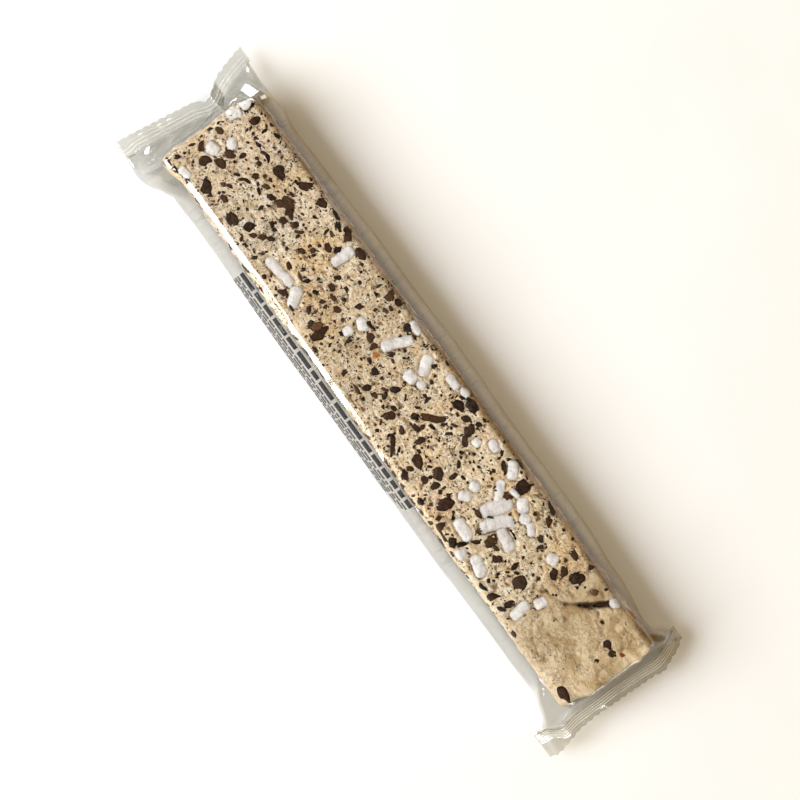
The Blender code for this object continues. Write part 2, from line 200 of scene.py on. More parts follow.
# x, y, length, width, turn, tone (0 black, 0.5 brown, 1 milk brown), red, bend.
CHIPS = [
    (-91.9, 11.4, 3.4, 2.2, 78, .2, 0, 0), (-96.2, 13.2, 2.2, 1.0, 100, 0, 0, 0),
    (-95.5, 10.7, 1.4, 1.1, 20, 0, 0, 0), (-87.9, 11.7, 2.6, 0.9, 95, 0, 0, 0),
    (-88.1, 14.6, 1.4, 0.9, 10, .1, 0, 0), (-84.7, 14.0, 2.4, 1.1, 25, 0, 0, 0),
    (-85.8, 8.0, 2.1, 1.1, 10, .1, 0, 0), (-90.8, 9.0, 1.7, 0.8, -40, 0, 0, 0),
    (-81.7, 7.7, 4.2, 1.2, 0, .05, 0, 110), (-75.6, 8.2, 5.8, 3.3, -24, .25, 0, 0),
    (-85.8, 2.5, 2.3, 1.4, 80, .45, 0, 0), (-95.7, 1.3, 2.7, 1.9, 20, .65, 0, 0),
    (-88.3, -0.1, 3.2, 2.5, 50, .6, 0, 0), (-88.0, -3.9, 4.4, 2.5, 5, .55, 0, 0),
    (-95.2, -5.5, 3.3, 1.6, -40, .5, 0, 0), (-91.0, -7.1, 3.7, 2.8, 60, .3, 0, 0),
    (-84.9, -11.2, 4.3, 3.1, -38, .2, 0, 0), (-78.8, 2.0, 2.1, 1.9, 70, .1, 0, 0),
    (-82.7, 5.4, 1.2, 1.1, 0, .3, 0, 0), (-79.6, -1.3, 3.7, 1.1, 38, .2, 0, 70),
    (-82.4, -2.0, 1.9, 0.9, 42, .3, 0, 0), (-80.8, -5.7, 2.1, 1.1, 20, .2, 0, 0),
    (-82.3, -7.0, 1.6, 1.2, 0, .7, 0, 0), (-78.9, -9.1, 2.7, 1.5, -10, .35, 0, 0),
    (-74.6, 2.7, 2.5, 1.5, 35, .6, 0, 0), (-74.7, 0.3, 2.5, 1.0, -15, .1, 0, 0),
    (-82.2, -12.0, 1.6, 1.1, 60, .1, 0, 0), (-88.9, -15.0, 2.3, 1.3, -20, .3, .3, 0),
    (-94.0, -15.9, 2.3, 1.3, -10, 0, 0, 0), (-96.7, -13.0, 1.5, 1.4, 0, 0, 0, 0),
    (-97.6, 2.4, 1.3, 0.8, 85, 0, 0, 0), (-97.7, -0.6, 1.9, 0.8, 84, .1, 0, 0),
    (-97.4, -4.0, 1.2, 0.7, 70, .2, .2, 0), (-97.0, -7.6, 2.3, 1.0, 82, .1, .2, 0),
    (-96.5, -10.9, 1.5, 1.0, 60, 0, 0, 0), (-97.5, 6.6, 1.1, 0.8, 60, .3, .3, 0),
    (-67.9, 12.1, 4.7, 2.5, 40, .25, 0, 0), (-70.4, 10.6, 1.5, 0.9, 10, 0, 0, 0),
    (-61.1, 13.1, 3.6, 3.1, 70, .4, 0, 0), (-55.8, 14.4, 4.8, 1.4, 4, .05, 0, 0),
    (-53.1, 12.9, 2.6, 1.8, -35, .1, 0, 0), (-50.4, 14.5, 2.3, 2.0, 10, .15, 0, 0),
    (-53.8, 9.2, 2.4, 0.8, 95, .05, 0, 0), (-52.4, 10.0, 1.7, 1.3, 10, .75, 0, 0),
    (-59.0, 8.9, 1.9, 0.9, 20, 0, 0, 0), (-66.7, 5.0, 4.6, 3.3, 22, .55, 0, 0),
    (-68.3, 3.0, 3.0, 2.4, 60, .6, 0, 0), (-64.6, 3.8, 2.7, 2.0, 80, .35, 0, 0),
    (-63.1, 3.5, 1.5, 1.3, 0, .5, 0, 0), (-68.2, 7.5, 2.1, 1.0, 15, .3, 0, 0),
    (-63.6, 1.0, 2.5, 2.3, 45, .3, 0, 0), (-60.7, 2.9, 2.3, 1.8, 60, .2, .2, 0),
    (-58.4, 2.7, 3.0, 1.0, 45, .6, 0, 0), (-57.5, 1.8, 1.4, 1.1, 70, .5, 0, 0),
    (-71.1, 2.2, 2.6, 1.8, 30, .3, 0, 0), (-69.7, 0.1, 1.2, 1.0, 0, .1, 0, 0),
    (-70.4, -2.1, 1.9, 1.1, 100, .15, 0, 0), (-64.6, -2.5, 2.0, 1.4, -40, .1, 0, 0),
    (-63.0, -2.7, 1.3, 1.1, 0, .15, 0, 0), (-61.5, -5.0, 2.1, 1.5, 40, .25, 0, 0),
    (-63.3, -6.9, 2.6, 1.9, 70, .55, .1, 0), (-65.4, -8.7, 2.3, 1.5, 40, .45, 0, 0),
    (-68.1, -7.9, 3.4, 2.6, 95, .15, 0, 0), (-72.6, -10.8, 4.3, 3.2, 5, .3, 0, 0),
    (-56.6, -2.8, 2.2, 1.0, -45, .2, .2, 0), (-53.2, 0.2, 2.0, 1.4, 10, .4, 0, 0),
    (-51.7, 2.9, 1.7, 1.6, 0, .45, 0, 0), (-52.0, -5.4, 2.7, 1.4, -15, .5, .1, 0),
    (-66.5, -11.9, 1.8, 1.0, -60, .5, 0, 0), (-59.8, -12.0, 1.5, 1.1, 50, .2, 0, 0),
    (-47.7, 9.0, 2.8, 1.9, 95, .15, 0, 0), (-49.6, 6.8, 2.9, 1.9, -12, .35, 0, 0),
    (-48.7, 13.3, 3.5, 2.4, -38, .45, .1, 0), (-43.0, 13.5, 4.7, 3.1, -14, .35, 0, 0),
    (-41.0, 4.0, 2.2, 1.4, 50, .2, 0, 0), (-36.8, 3.9, 3.8, 1.3, 5, .2, .1, 100),
    (-34.7, 1.8, 1.4, 1.2, 20, 0, 0, 0), (-39.7, 1.0, 2.3, 1.9, -20, .35, 0, 0),
    (-37.2, -0.4, 2.4, 1.5, 0, .65, .6, 0), (-33.6, -1.5, 2.5, 1.8, 30, .6, .5, 0),
    (-30.5, 4.3, 2.9, 1.8, 68, .35, 0, 0), (-31.1, -4.2, 1.4, 0.9, -15, .3, .4, 0),
    (-38.0, -3.6, 1.9, 1.3, 62, .35, 0, 0), (-45.4, -3.9, 2.2, 1.3, 70, .15, 0, 0),
    (-41.3, -3.7, 1.7, 1.2, 30, .1, 0, 0), (-48.1, -4.6, 2.3, 0.9, -27, .6, .5, 0),
    (-46.6, -11.0, 3.3, 2.4, 10, .4, 0, 0), (-41.2, -12.1, 3.2, 0.9, -12, .3, 0, 0),
    (-38.3, -8.3, 2.6, 1.4, -42, .2, .2, 0), (-36.8, -7.2, 2.0, 1.0, 70, .7, 0, 0),
    (-30.8, -9.1, 7.0, 3.2, 93, .32, 0, 0), (-33.1, -9.0, 3.4, 2.4, 80, .85, 0, 0),
    (-34.8, -10.5, 2.8, 1.4, 112, .15, 0, 0), (-27.3, -4.7, 1.9, 1.0, -5, .1, 0, 0),
    (-27.7, -7.2, 1.7, 0.9, 95, .2, 0, 0), (-26.5, -9.2, 1.8, 0.8, -65, .15, 0, 0),
    (-27.8, 13.3, 4.7, 3.0, -62, .62, .15, 0), (-24.8, 14.2, 2.6, 2.2, 20, 0, 0, 0),
    (-24.7, 11.3, 1.8, 1.3, 15, .4, 0, 0), (-25.0, 9.4, 2.2, 1.5, 0, .65, 0, 0),
    (-32.0, 12.5, 2.0, 0.8, 80, .1, .2, 0), (-30.8, 10.4, 1.3, 1.0, -10, 0, 0, 0),
    (-24.1, 3.9, 3.2, 1.5, 10, .2, 0, 0), (-21.6, 1.7, 3.5, 2.2, -15, .6, .15, 0),
    (-18.8, 0.8, 2.5, 1.8, 70, .55, .1, 0), (-24.3, -3.6, 2.4, 1.5, 95, .2, 0, 0),
    (-16.0, -2.6, 2.1, 1.1, -15, .1, .1, 0), (-12.6, -3.2, 2.4, 2.1, 10, 0, 0, 0),
    (-17.0, 11.7, 3.3, 2.4, -15, .15, 0, 0), (-13.9, 12.0, 2.8, 0.8, 2, 0, 0, 0),
    (-13.7, 3.7, 3.2, 1.5, 55, .4, 0, 0), (-12.0, 2.9, 1.7, 0.9, -10, .65, .2, 0),
    (-10.2, -7.8, 2.9, 1.9, 65, .2, .1, 0), (-17.4, -10.6, 2.0, 1.7, -30, .4, 0, 0),
    (-11.6, -10.5, 3.0, 1.2, -5, .65, .5, 0), (-8.1, -10.6, 1.3, 1.1, 0, 0, 0, 0),
    (-5.1, -1.7, 3.7, 1.9, 40, .05, 0, 0), (-5.3, -5.0, 2.4, 1.4, -62, .1, 0, 0),
    (-7.3, -4.2, 3.2, 1.0, 22, .7, .9, 0), (-6.9, -7.3, 2.0, 1.5, 0, .3, .3, 0),
    (-3.1, -7.2, 1.9, 0.9, -30, .2, .1, 0), (-0.9, -5.0, 2.2, 1.3, 10, .15, 0, 0),
    (-3.7, 11.7, 1.6, 1.2, 70, .1, 0, 0), (-2.0, 15.3, 2.3, 1.0, -12, .1, 0, 0),
    (-1.2, -0.8, 3.4, 0.6, -50, .3, .2, 70), (0.2, -7.3, 3.4, 2.4, 62, .3, .25, 0),
    (11.7, 13.6, 4.5, 3.7, 20, .08, 0, 0), (8.4, 12.8, 1.9, 1.0, 20, 0, 0, 0),
    (9.9, 10.8, 3.9, 2.7, 0, .12, 0, 0), (14.0, 10.2, 3.0, 2.0, 42, .25, 0, 0),
    (17.4, 8.9, 4.3, 2.9, -62, .3, 0, 0), (19.1, 6.1, 3.3, 1.9, -22, .5, 0, 0),
    (17.5, 12.3, 2.0, 1.3, 50, .15, .1, 0), (17.5, 14.4, 1.4, 1.1, 0, 0, 0, 0),
    (3.0, 4.3, 2.6, 1.2, 100, .2, 0, 50), (7.9, 2.9, 9.0, 2.3, 44, .55, .15, -85),
    (9.9, 0.8, 2.9, 1.0, 12, 0, 0, 0), (4.7, -1.5, 2.4, 2.0, 40, 0, 0, 0),
    (3.2, 0.7, 1.9, 0.8, 45, .2, 0, 0), (8.5, -1.5, 1.8, 1.4, 60, .2, 0, 0),
    (7.6, -3.2, 2.7, 1.5, 5, .35, 0, 0), (11.3, -4.3, 3.7, 2.0, 74, .4, 0, 0),
    (13.6, -6.4, 1.8, 1.1, 20, .5, 0, 0), (5.7, -6.9, 2.7, 1.5, -17, .4, .1, 0),
    (16.0, -8.5, 4.7, 2.9, -18, .3, .1, 0), (16.2, -11.5, 2.3, 1.6, 25, .3, 0, 0),
    (16.9, -13.9, 3.9, 2.1, -30, .15, .2, 0), (8.0, -12.1, 7.6, 1.6, -38, .2, .25, 55),
    (10.1, -11.0, 2.5, 0.8, -52, 0, 0, 0), (4.7, -10.6, 1.6, 1.0, 80, .1, 0, 0),
    (0.6, -10.6, 1.8, 0.9, -40, 0, 0, 0), (22.3, -5.8, 3.9, 3.2, -8, .38, 0, 0),
    (24.4, -8.4, 3.0, 2.1, 75, .35, 0, 0), (21.3, -9.9, 2.5, 2.0, -25, .2, .1, 0),
    (19.0, -6.4, 1.6, 0.9, 48, .1, 0, 0), (23.4, 0.8, 2.4, 1.1, -35, .25, 0, 0),
    (25.4, -2.5, 2.7, 1.4, 95, .3, 0, 0), (21.1, 3.3, 1.3, 1.0, 20, 0, 0, 0),
    (13.7, 6.5, 1.8, 1.2, 60, .55, 0, 0), (14.8, 4.0, 2.8, 0.9, 56, .35, 0, 0),
    (25.7, -14.7, 2.5, 1.9, 10, 0, 0, 0), (26.0, 15.3, 2.0, 0.9, -70, .15, 0, 0),
    (28.0, 12.9, 2.6, 1.0, -50, .2, .1, 0), (33.8, 15.6, 4.5, 1.2, -10, .3, .1, 0),
    (30.7, 13.3, 1.7, 0.9, 60, 0, 0, 0), (32.0, 10.8, 4.3, 1.5, -25, .25, 0, 0),
    (39.7, 12.2, 4.9, 4.0, 82, .12, .1, 0), (49.6, 15.2, 4.5, 1.6, -20, .2, .1, 0),
    (51.9, 12.5, 4.4, 1.8, -36, .3, .4, 0), (39.4, 6.9, 2.6, 2.2, 20, .55, .5, 0),
    (41.3, -0.8, 2.0, 0.6, 45, 0, 0, 0), (38.4, -3.2, 3.0, 1.4, -12, .3, .1, 0),
    (27.5, -0.4, 1.8, 1.0, 15, .15, 0, 0), (32.6, 6.1, 1.6, 0.9, -30, .5, 0, 0),
    (26.4, -6.7, 1.4, 1.0, 60, .4, 0, 0), (30.6, -9.1, 5.5, 3.6, 64, .14, .35, 0),
    (29.3, -7.0, 1.8, 1.1, -20, .1, .1, 0), (35.0, -9.6, 1.5, 1.0, -40, 0, 0, 0),
    (44.6, -8.5, 2.8, 1.2, 55, .2, 0, 0), (42.7, -6.6, 1.7, 1.3, -30, .6, 0, 0),
    (47.0, -4.9, 4.1, 3.1, 100, .58, .1, 0), (49.4, -4.8, 1.7, 1.2, 20, .6, .1, 0),
    (49.2, 1.6, 3.4, 0.8, -5, 0, 0, 60), (44.9, 12.0, 1.2, 0.6, 25, .1, 0, 0),
    (48.0, 10.1, 1.2, 1.1, 0, .3, 0, 0), (40.9, -14.0, 3.3, 2.5, -20, 0, 0, 0),
    (42.7, -12.1, 2.7, 1.5, 72, 0, 0, 0), (35.0, -13.8, 3.3, 2.2, 82, .35, 0, 0),
    (38.2, -15.3, 6.0, 1.0, -3, .15, 0, 0), (32.7, -13.2, 1.8, 1.4, 70, .3, 0, 0),
    (54.9, 7.3, 2.4, 1.6, -12, .35, 0, 0), (56.9, 5.9, 1.7, 1.2, 70, .1, 0, 0),
    (56.7, 14.2, 1.2, 0.9, 10, .1, .2, 0), (64.2, 12.4, 3.7, 1.9, -12, .2, .1, 0),
    (66.1, 7.3, 3.9, 2.5, -32, .35, 0, 0), (65.4, 4.4, 3.6, 2.4, -24, .1, .1, 0),
    (70.2, 14.4, 2.4, 1.3, 72, .2, 0, 0), (70.5, 9.6, 5.5, 3.3, 62, .15, 0, 0),
    (72.4, 7.4, 1.4, 1.0, 40, .2, 0, 0), (56.9, -3.3, 2.9, 1.5, 92, 0, 0, 0),
    (58.9, -4.1, 1.6, 0.9, 42, .1, 0, 0), (61.7, -5.3, 4.8, 4.2, -60, .5, 0, 0),
    (52.3, -6.3, 2.8, 2.2, 52, .45, 0, 0), (65.0, -11.1, 3.3, 2.0, 68, .15, 0, 0),
    (60.2, -13.8, 4.8, 2.6, 64, .12, .2, 0), (55.9, -12.0, 1.4, 1.2, 0, .2, .2, 0),
    (56.4, -14.6, 3.7, 1.3, 18, 0, 0, 0), (64.7, -13.9, 2.7, 1.2, 36, .2, 0, 0),
    (72.7, -15.4, 2.3, 1.2, -8, 0, 0, 0), (80.9, 10.6, 5.2, 1.5, 58, .16, .1, 0),
    (78.4, 6.7, 1.8, 0.8, 58, .15, 0, 0), (77.1, 5.2, 1.1, 0.7, 30, .1, 0, 0),
    (78.0, 14.2, 1.4, 0.9, 68, 0, 0, 0), (76.6, 10.8, 2.4, 1.7, 40, .75, 0, 0),
    (84.9, 7.5, 1.2, 0.9, 0, .1, 0, 0), (93.1, -0.3, 1.3, 1.2, 0, .2, 0, 0),
    (91.2, 4.9, 3.0, 2.3, -40, .05, .1, 0), (94.2, 4.6, 2.3, 2.1, 20, .3, 0, 0),
    (95.6, -13.9, 5.5, 3.0, -4, .1, .25, 0),
]

# Small candied bits: x, y, length, width, turn.
AMBER = [(-16.1, 0.2, 3.3, 1.9, 92), (96.2, 6.7, 2.0, 1.4, 20)]


def bar_edges(x):
    """(front y, rear y) of the bar's top at x, uneven as a cut slab is."""
    p = np.stack([x, np.zeros_like(x), np.zeros_like(x)], -1)
    front = FRONT_Y + 0.22 * noise(p, 23.0, 3) + 0.08 * noise(p, 5.0, 5)
    rear = REAR_Y + 0.22 * noise(p, 27.0, 4) + 0.08 * noise(p, 4.0, 6)
    front = front - 1.3 * smooth((-88.0 - x) / 9.0)
    rear = rear - 0.7 * smooth((-90.0 - x) / 8.0)
    return front, rear


def end_pull(x, y):
    """How much the ends' outline steps back from the straight cut."""
    spot = np.stack([np.sign(x) * 9.0, y, np.zeros_like(y)], -1).reshape(-1, 3)
    rough = (0.75 * noise(spot, 6.5, 7) + 0.40 * noise(spot, 2.4, 8)).reshape(np.shape(y))
    left = 0.9 * smooth((-4.0 - y) / 12.0) + 1.6 * smooth((y - 11.5) / 5.0)
    right = 1.7 * smooth((-5.0 - y) / 11.0) + 1.1 * smooth((y - 9.0) / 7.0)
    near_left = smooth((-90.0 - x) / 9.0)
    near_right = smooth((x - 90.0) / 9.0)
    return (left + rough) * near_left - (right + rough) * near_right


CRACK = np.array([(74.4, 1.9), (75.9, 3.9), (77.6, 5.6), (79.4, 8.4), (81.6, 12.2), (83.2, 15.2)])
FOLDS = [
    # points along a crease in the pulled, smoother end, and its depth
    (np.array([(67.0, -0.2), (69.5, 0.3), (72.0, 1.2), (74.6, 2.4)]), 0.34),
    (np.array([(74.4, 1.9), (76.0, 4.4), (78.4, 7.0), (81.2, 8.4), (85.0, 8.0), (88.4, 5.6), (90.4, 2.0)]), 0.30),
    (np.array([(90.4, 2.0), (91.2, -0.6)]), 0.22),
    (np.array([(95.0, 8.4), (96.4, 4.0), (96.3, 0.0), (96.8, -2.6)]), 0.38),
    (np.array([(95.6, 10.3), (97.6, 11.0), (98.8, 13.2)]), 0.42),
    (np.array([(60.0, 4.5), (63.5, 0.5), (66.0, -3.5)]), 0.22),
    (np.array([(72.0, -4.0), (72.8, -8.5), (77.0, -11.5), (81.8, -12.6)]), 0.26),
]


def line_distance(px, py, line):
    """Distance from points to a polyline, in the plane."""
    best = np.full(len(px), 1e9)
    for (ax, ay), (bx, by) in zip(line, line[1:]):
        dx, dy = bx - ax, by - ay
        t = np.clip(((px - ax) * dx + (py - ay) * dy) / (dx * dx + dy * dy), 0, 1)
        best = np.minimum(best, np.hypot(px - ax - t * dx, py - ay - t * dy))
    return best


def calm(x):
    """0 over the crumbly length of the bar, 1 on its smooth pulled end."""
    return smooth((x - 66.0) / 12.0)


def crumbly(x):
    return smooth((x + 34.0) / 10.0) * (1.0 - smooth((x - 22.0) / 14.0))


def relief(points, normals):
    """Height of the nougat's surface over its plain shape: the coarse part,
    which everything in it follows, and the fine part, its crumb."""
    x = points[:, 0]
    quiet, crumb = calm(x), crumbly(x)
    flat = smooth((normals[:, 2] - 0.5) / 0.4)  # the top is pressed by the film
    lumps = layered(points, 15.0, 11, 2) * (0.15 + 0.10 * quiet)
    rolls = layered(points * (1.0, 1.6, 1.6), 5.2, 23, 2) * (0.13 + 0.36 * quiet)
    bent = points + 0.9 * np.stack([noise(points, 3.0, 71 + i) for i in range(3)], -1)
    # Short curved wrinkles: the ridges of a folded noise.
    ridges = 1.0 - np.abs(noise(bent * (1.0, 0.7, 1.0), 1.9, 31))
    ridges = ridges**2 - 0.42
    grains = layered(bent, 1.0, 43, 2, 0.7)
    fine = 0.17 * ridges * (1.0 - 0.50 * quiet) + grains * (
        0.070 + 0.050 * crumb
    ) * (1.0 - 0.60 * quiet)
    # Long pulled wrinkles, slanting across the fibrous length of the bar.
    turned = np.stack(
        [
            (bent[:, 0] + bent[:, 1]) * 0.707,
            (bent[:, 1] - bent[:, 0]) * 0.707 * 0.42,
            bent[:, 2],
        ],
        -1,
    )
    pull = 1.0 - np.abs(layered(turned, 2.6, 131, 2, 0.5))
    pull = pull**3 - 0.45
    fine = fine + 0.16 * pull * smooth((x - 18.0) / 22.0) * (1.0 - 0.55 * quiet)
    # Thin dark creases where two lumps meet.
    crease = np.abs(layered(bent * (1.0, 1.25, 1.0), 6.0, 141, 3, 0.55))
    fine = fine - 0.24 * quiet * np.exp(-((crease / 0.05) ** 2))
    # Burst bubbles: small deep pits where a cell noise runs low.
    cells = noise(points, 1.35, 57) + 0.5 * noise(points, 0.7, 58)
    pits = -0.42 * smooth((-0.55 - cells) / 0.3) * (1.0 - 0.5 * quiet)
    coarse = (lumps + rolls) * (1.0 - 0.35 * flat)
    coarse = coarse * np.where(flat > 0.5, 1.0, 1.25)
    return coarse, fine + pits


def pressed(height):
    """The film presses the top: what would stand up is squeezed level."""
    return np.where(height > 0.05, 0.05 + 0.45 * (height - 0.05), height)


def shape_distance(px, py, x, y, length, width, turn):
    """Signed distance to a round-ended bar lying at (x, y)."""
    a = math.radians(turn)
    dx, dy = px - x, py - y
    along = dx * math.cos(a) + dy * math.sin(a)
    across = -dx * math.sin(a) + dy * math.cos(a)
    straight = max(0.0, (length - width) / 2)
    return np.hypot(np.maximum(np.abs(along) - straight, 0.0), across) - width / 2


def stamps(x, s, plan):
    """What the rods, the larger chips, the crack and the folds do to the
    surface round them, in its own (along, round) coordinates."""
    down = np.zeros(len(x))
    for where, u, v, length, width, turn, *_ in plan["rods"]:
        if where:
            continue
        near = np.flatnonzero(
            (np.abs(x - u) < length / 2 + 2.5) & (np.abs(s - v) < length / 2 + 2.5)
        )
        d = shape_distance(x[near], s[near], u, v, length, width, turn)
        lip = 0.12 * np.exp(-(((d - 0.70) / 0.35) ** 2))
        gap = -0.36 * np.exp(-(((d + 0.02) / 0.22) ** 2))
        down[near] += lip + gap - 1.5 * smooth((-0.25 - d) / 0.5)
    for where, u, v, length, width, turn, *_ in plan["chips"]:
        if where or width < 1.2:
            continue
        near = np.flatnonzero(
            (np.abs(x - u) < length / 2 + 1.5) & (np.abs(s - v) < length / 2 + 1.5)
        )
        d = shape_distance(x[near], s[near], u, v, length * 0.9, width * 0.86, turn)
        down[near] += -0.16 * np.exp(-((d / 0.26) ** 2)) - 0.35 * smooth((-0.4 - d) / 0.4)
    top = np.abs(s) < 18
    d = line_distance(x, s, CRACK)
    along = smooth((s - 2.0) / 5.0)
    down -= top * (0.55 + 1.1 * along) * np.exp(-((d / (0.36 + 0.44 * along)) ** 2))
    for line, depth in FOLDS:
        d = line_distance(x, s, line)
        down -= top * (
            depth * np.exp(-((d / 0.42) ** 2)) - 0.3 * depth * np.exp(-(((d - 1.5) / 0.9) ** 2))
        )
    return down


ARC, LOW_ARC = TOP_RADIUS * math.pi / 2, LOW_RADIUS * math.pi / 2
SIDE_HEIGHT = TOP_Z - TOP_RADIUS - BOTTOM_Z - LOW_RADIUS
MIDDLE_Y = 0.7  # where the base's two halves meet


def rear_lean(x):
    return REAR_LEAN * (1.0 - 0.45 * smooth((x - 82.0) / 8.0))


def skin(x, s):
    """The bar's plain surface, by distance along it and round it: s is 0 on the
    middle of the top, grows to the rear and falls to the front."""
    front, rear = bar_edges(x)
    back = s >= 0
    edge = np.where(back, rear, -front)
    lean = np.where(back, rear_lean(x), FRONT_LEAN)
    a, flat = np.abs(s), edge - TOP_RADIUS
    turn = np.clip((a - flat) / TOP_RADIUS, 0, math.pi / 2)
    down = np.clip(a - flat - ARC, 0, SIDE_HEIGHT)
    under = np.clip((a - flat - ARC - SIDE_HEIGHT) / LOW_RADIUS, 0, math.pi / 2)
    rest = np.maximum(0, a - flat - ARC - SIDE_HEIGHT - LOW_ARC)
    y = np.minimum(a, flat) + TOP_RADIUS * np.sin(turn)
    y = y + lean * (down / SIDE_HEIGHT) ** 0.8 - LOW_RADIUS * (1 - np.cos(under)) - rest
    z = TOP_Z - TOP_RADIUS * (1 - np.cos(turn)) - down - LOW_RADIUS * np.sin(under)
    sign = np.where(back, 1.0, -1.0)
    tilt = turn + under
    P = np.stack([x, sign * y, z], -1)
    N = np.stack([np.zeros_like(x), sign * np.sin(tilt), np.cos(tilt)], -1)
    return P, N


def half_reach(x):
    """s where each half of the base ends, rear and front."""
    front, rear = bar_edges(x)
    shared = ARC + SIDE_HEIGHT + LOW_ARC - TOP_RADIUS - LOW_RADIUS
    return (
        2 * rear + rear_lean(x) + shared - MIDDLE_Y,
        -2 * front + FRONT_LEAN + shared + MIDDLE_Y,
    )


def bar_surface():
    """The bar's plain shape: (rows, columns) of x, s, points and normals."""
    turn = [math.pi / 2 * i / 5 for i in range(5)]
    rows = [
        (X_LEFT + END_RADIUS * (1 - math.cos(a)), END_RADIUS * (1 - math.sin(a)), -math.cos(a))
        for a in turn
    ]
    inner = np.linspace(X_LEFT + END_RADIUS, X_RIGHT - END_RADIUS, 452)
    rows += [(x, 0.0, 0.0) for x in inner]
    rows += [
        (X_RIGHT - END_RADIUS * (1 - math.sin(a)), END_RADIUS * (1 - math.cos(a)), math.sin(a))
        for a in [math.pi / 2 * (i + 1) / 5 for i in range(5)]
    ]
    rows = np.array(rows)
    x = rows[:, 0]
    front, rear = bar_edges(x)
    columns = []
    for edge, reach, sign in zip((rear, -front), half_reach(x), (1, -1)):
        flat = edge - TOP_RADIUS
        part = [flat * i / 44 for i in range(1, 45)]
        part += [flat + ARC * i / 9 for i in range(1, 10)]
        part += [flat + ARC + SIDE_HEIGHT * i / 17 for i in range(1, 18)]
        base = flat + ARC + SIDE_HEIGHT
        part += [base + LOW_ARC * i / 5 for i in range(1, 6)]
        base = base + LOW_ARC
        part += [base + (reach - base) * i / 15 for i in range(1, 16 if sign > 0 else 15)]
        columns.append([sign * c for c in part])
    s = np.stack([np.zeros_like(x)] + columns[0] + columns[1][::-1], 1)
    X = np.broadcast_to(x[:, None], s.shape)
    P, N = skin(X.ravel(), s.ravel())
    P, N = P.reshape(*s.shape, 3), N.reshape(*s.shape, 3)
    P = P - N * rows[:, 1][:, None, None]
    lean = np.sqrt(np.maximum(0.0, 1 - rows[:, 2] ** 2))
    N = N * lean[:, None, None]
    N[:, :, 0] = rows[:, 2][:, None]
    P[:, :, 0] += end_pull(P[:, :, 0], P[:, :, 1])
    return X, s, P, N


def nougat_bar(plan):
    X, S, P, N = bar_surface()
    rows, cols, _ = P.shape
    flat_p, flat_n = P.reshape(-1, 3), N.reshape(-1, 3)
    coarse, fine = relief(flat_p, flat_n)
    up = smooth((flat_n[:, 2] - 0.3) / 0.5)
    height = coarse + fine
    height = height + (pressed(height) - height) * up
    dents = stamps(X.ravel(), S.ravel(), plan)
    height += dents
    moved = flat_p + flat_n * height[:, None]
    # The dents go into the painted relief light as well, so the crack, the folds and the gaps round the pieces are
    # painted darker.
    fine = fine + 0.60 * np.clip(dents, -0.9, 0.0)
    index = np.arange(rows * cols).reshape(rows, cols)
    nxt = np.roll(index, -1, axis=1)
    groups = [np.stack([index[:-1], index[1:], nxt[1:], nxt[:-1]], axis=-1).reshape(-1, 4)]
    verts, cavity = [moved], [fine]
    base = rows * cols
    zc = (TOP_Z + BOTTOM_Z) / 2
    for row, sign in ((0, -1.0), (rows - 1, 1.0)):
        plain = P[row]
        previous = index[row]
        for k in range(1, 16):
            share = 1.0 - k / 16
            spine = np.clip(plain[:, 1], -9.5, 9.5)
            y = spine + (plain[:, 1] - spine) * share
            z = zc + (plain[:, 2] - zc) * share
            q = np.stack([np.full(cols, X_LEFT if sign < 0 else X_RIGHT), y, z], -1)
            q[:, 0] += end_pull(q[:, 0], q[:, 1])
            c, f = relief(q, np.tile([sign, 0.0, 0.0], (cols, 1)))
            q[:, 0] += sign * (c + f) * min(1.0, k / 2)
            verts.append(q)
            cavity.append(f)
            current = base + np.arange(cols)
            base += cols
            a, b = previous, np.roll(previous, -1)
            d, e = current, np.roll(current, -1)
            groups.append(np.stack([a, b, e, d] if sign < 0 else [a, d, e, b], -1))
            previous = current
        # Close the thin slot that is left in the middle.
        verts.append(verts[-1].mean(0)[None])
        cavity.append(np.zeros(1))
        a, b = previous, np.roll(previous, -1)
        tip = np.full(cols, base)
        base += 1
        groups.append(np.stack([a, b, tip] if sign < 0 else [a, tip, b], -1))
    # Level below, where it lies on the film, and above, where the film lies on it.
    verts = np.concatenate(verts)
    verts[:, 2] = np.clip(verts[:, 2], LOWEST, HIGHEST)
    even = calm(verts[:, 0]) * (1.0 - 0.6 * smooth((-6.0 - verts[:, 1]) / 4.0))
    crumb = 1.0 - 0.80 * even + 0.10 * crumbly(verts[:, 0])
    pale = np.exp(-(((verts[:, 0] - 54.0) / 13.0) ** 2))
    # Painted shade over the rear top edge, which lies away from the light.
    far = smooth((verts[:, 1] - 13.6) / 2.4) * smooth((verts[:, 2] - 10.0) / 5.0)
    # The cut end is a little cooler, the pulled end a little browner.
    cool = smooth((-42.0 - verts[:, 0]) / 26.0)
    dim = smooth((verts[:, 0] - 62.0) / 7.0) * (1.0 - 0.65 * smooth((verts[:, 0] - 80.0) / 7.0))
    dim = dim + 0.85 * np.exp(-(((verts[:, 0] + 20.0) / 19.0) ** 2))
    marks = {
        "cavity": np.concatenate(cavity), "crumb": crumb, "pale": pale, "far": far,
        "cool": cool, "dim": dim,
    }
    return mesh_object("nougat_slab", verts, groups, attributes=marks)


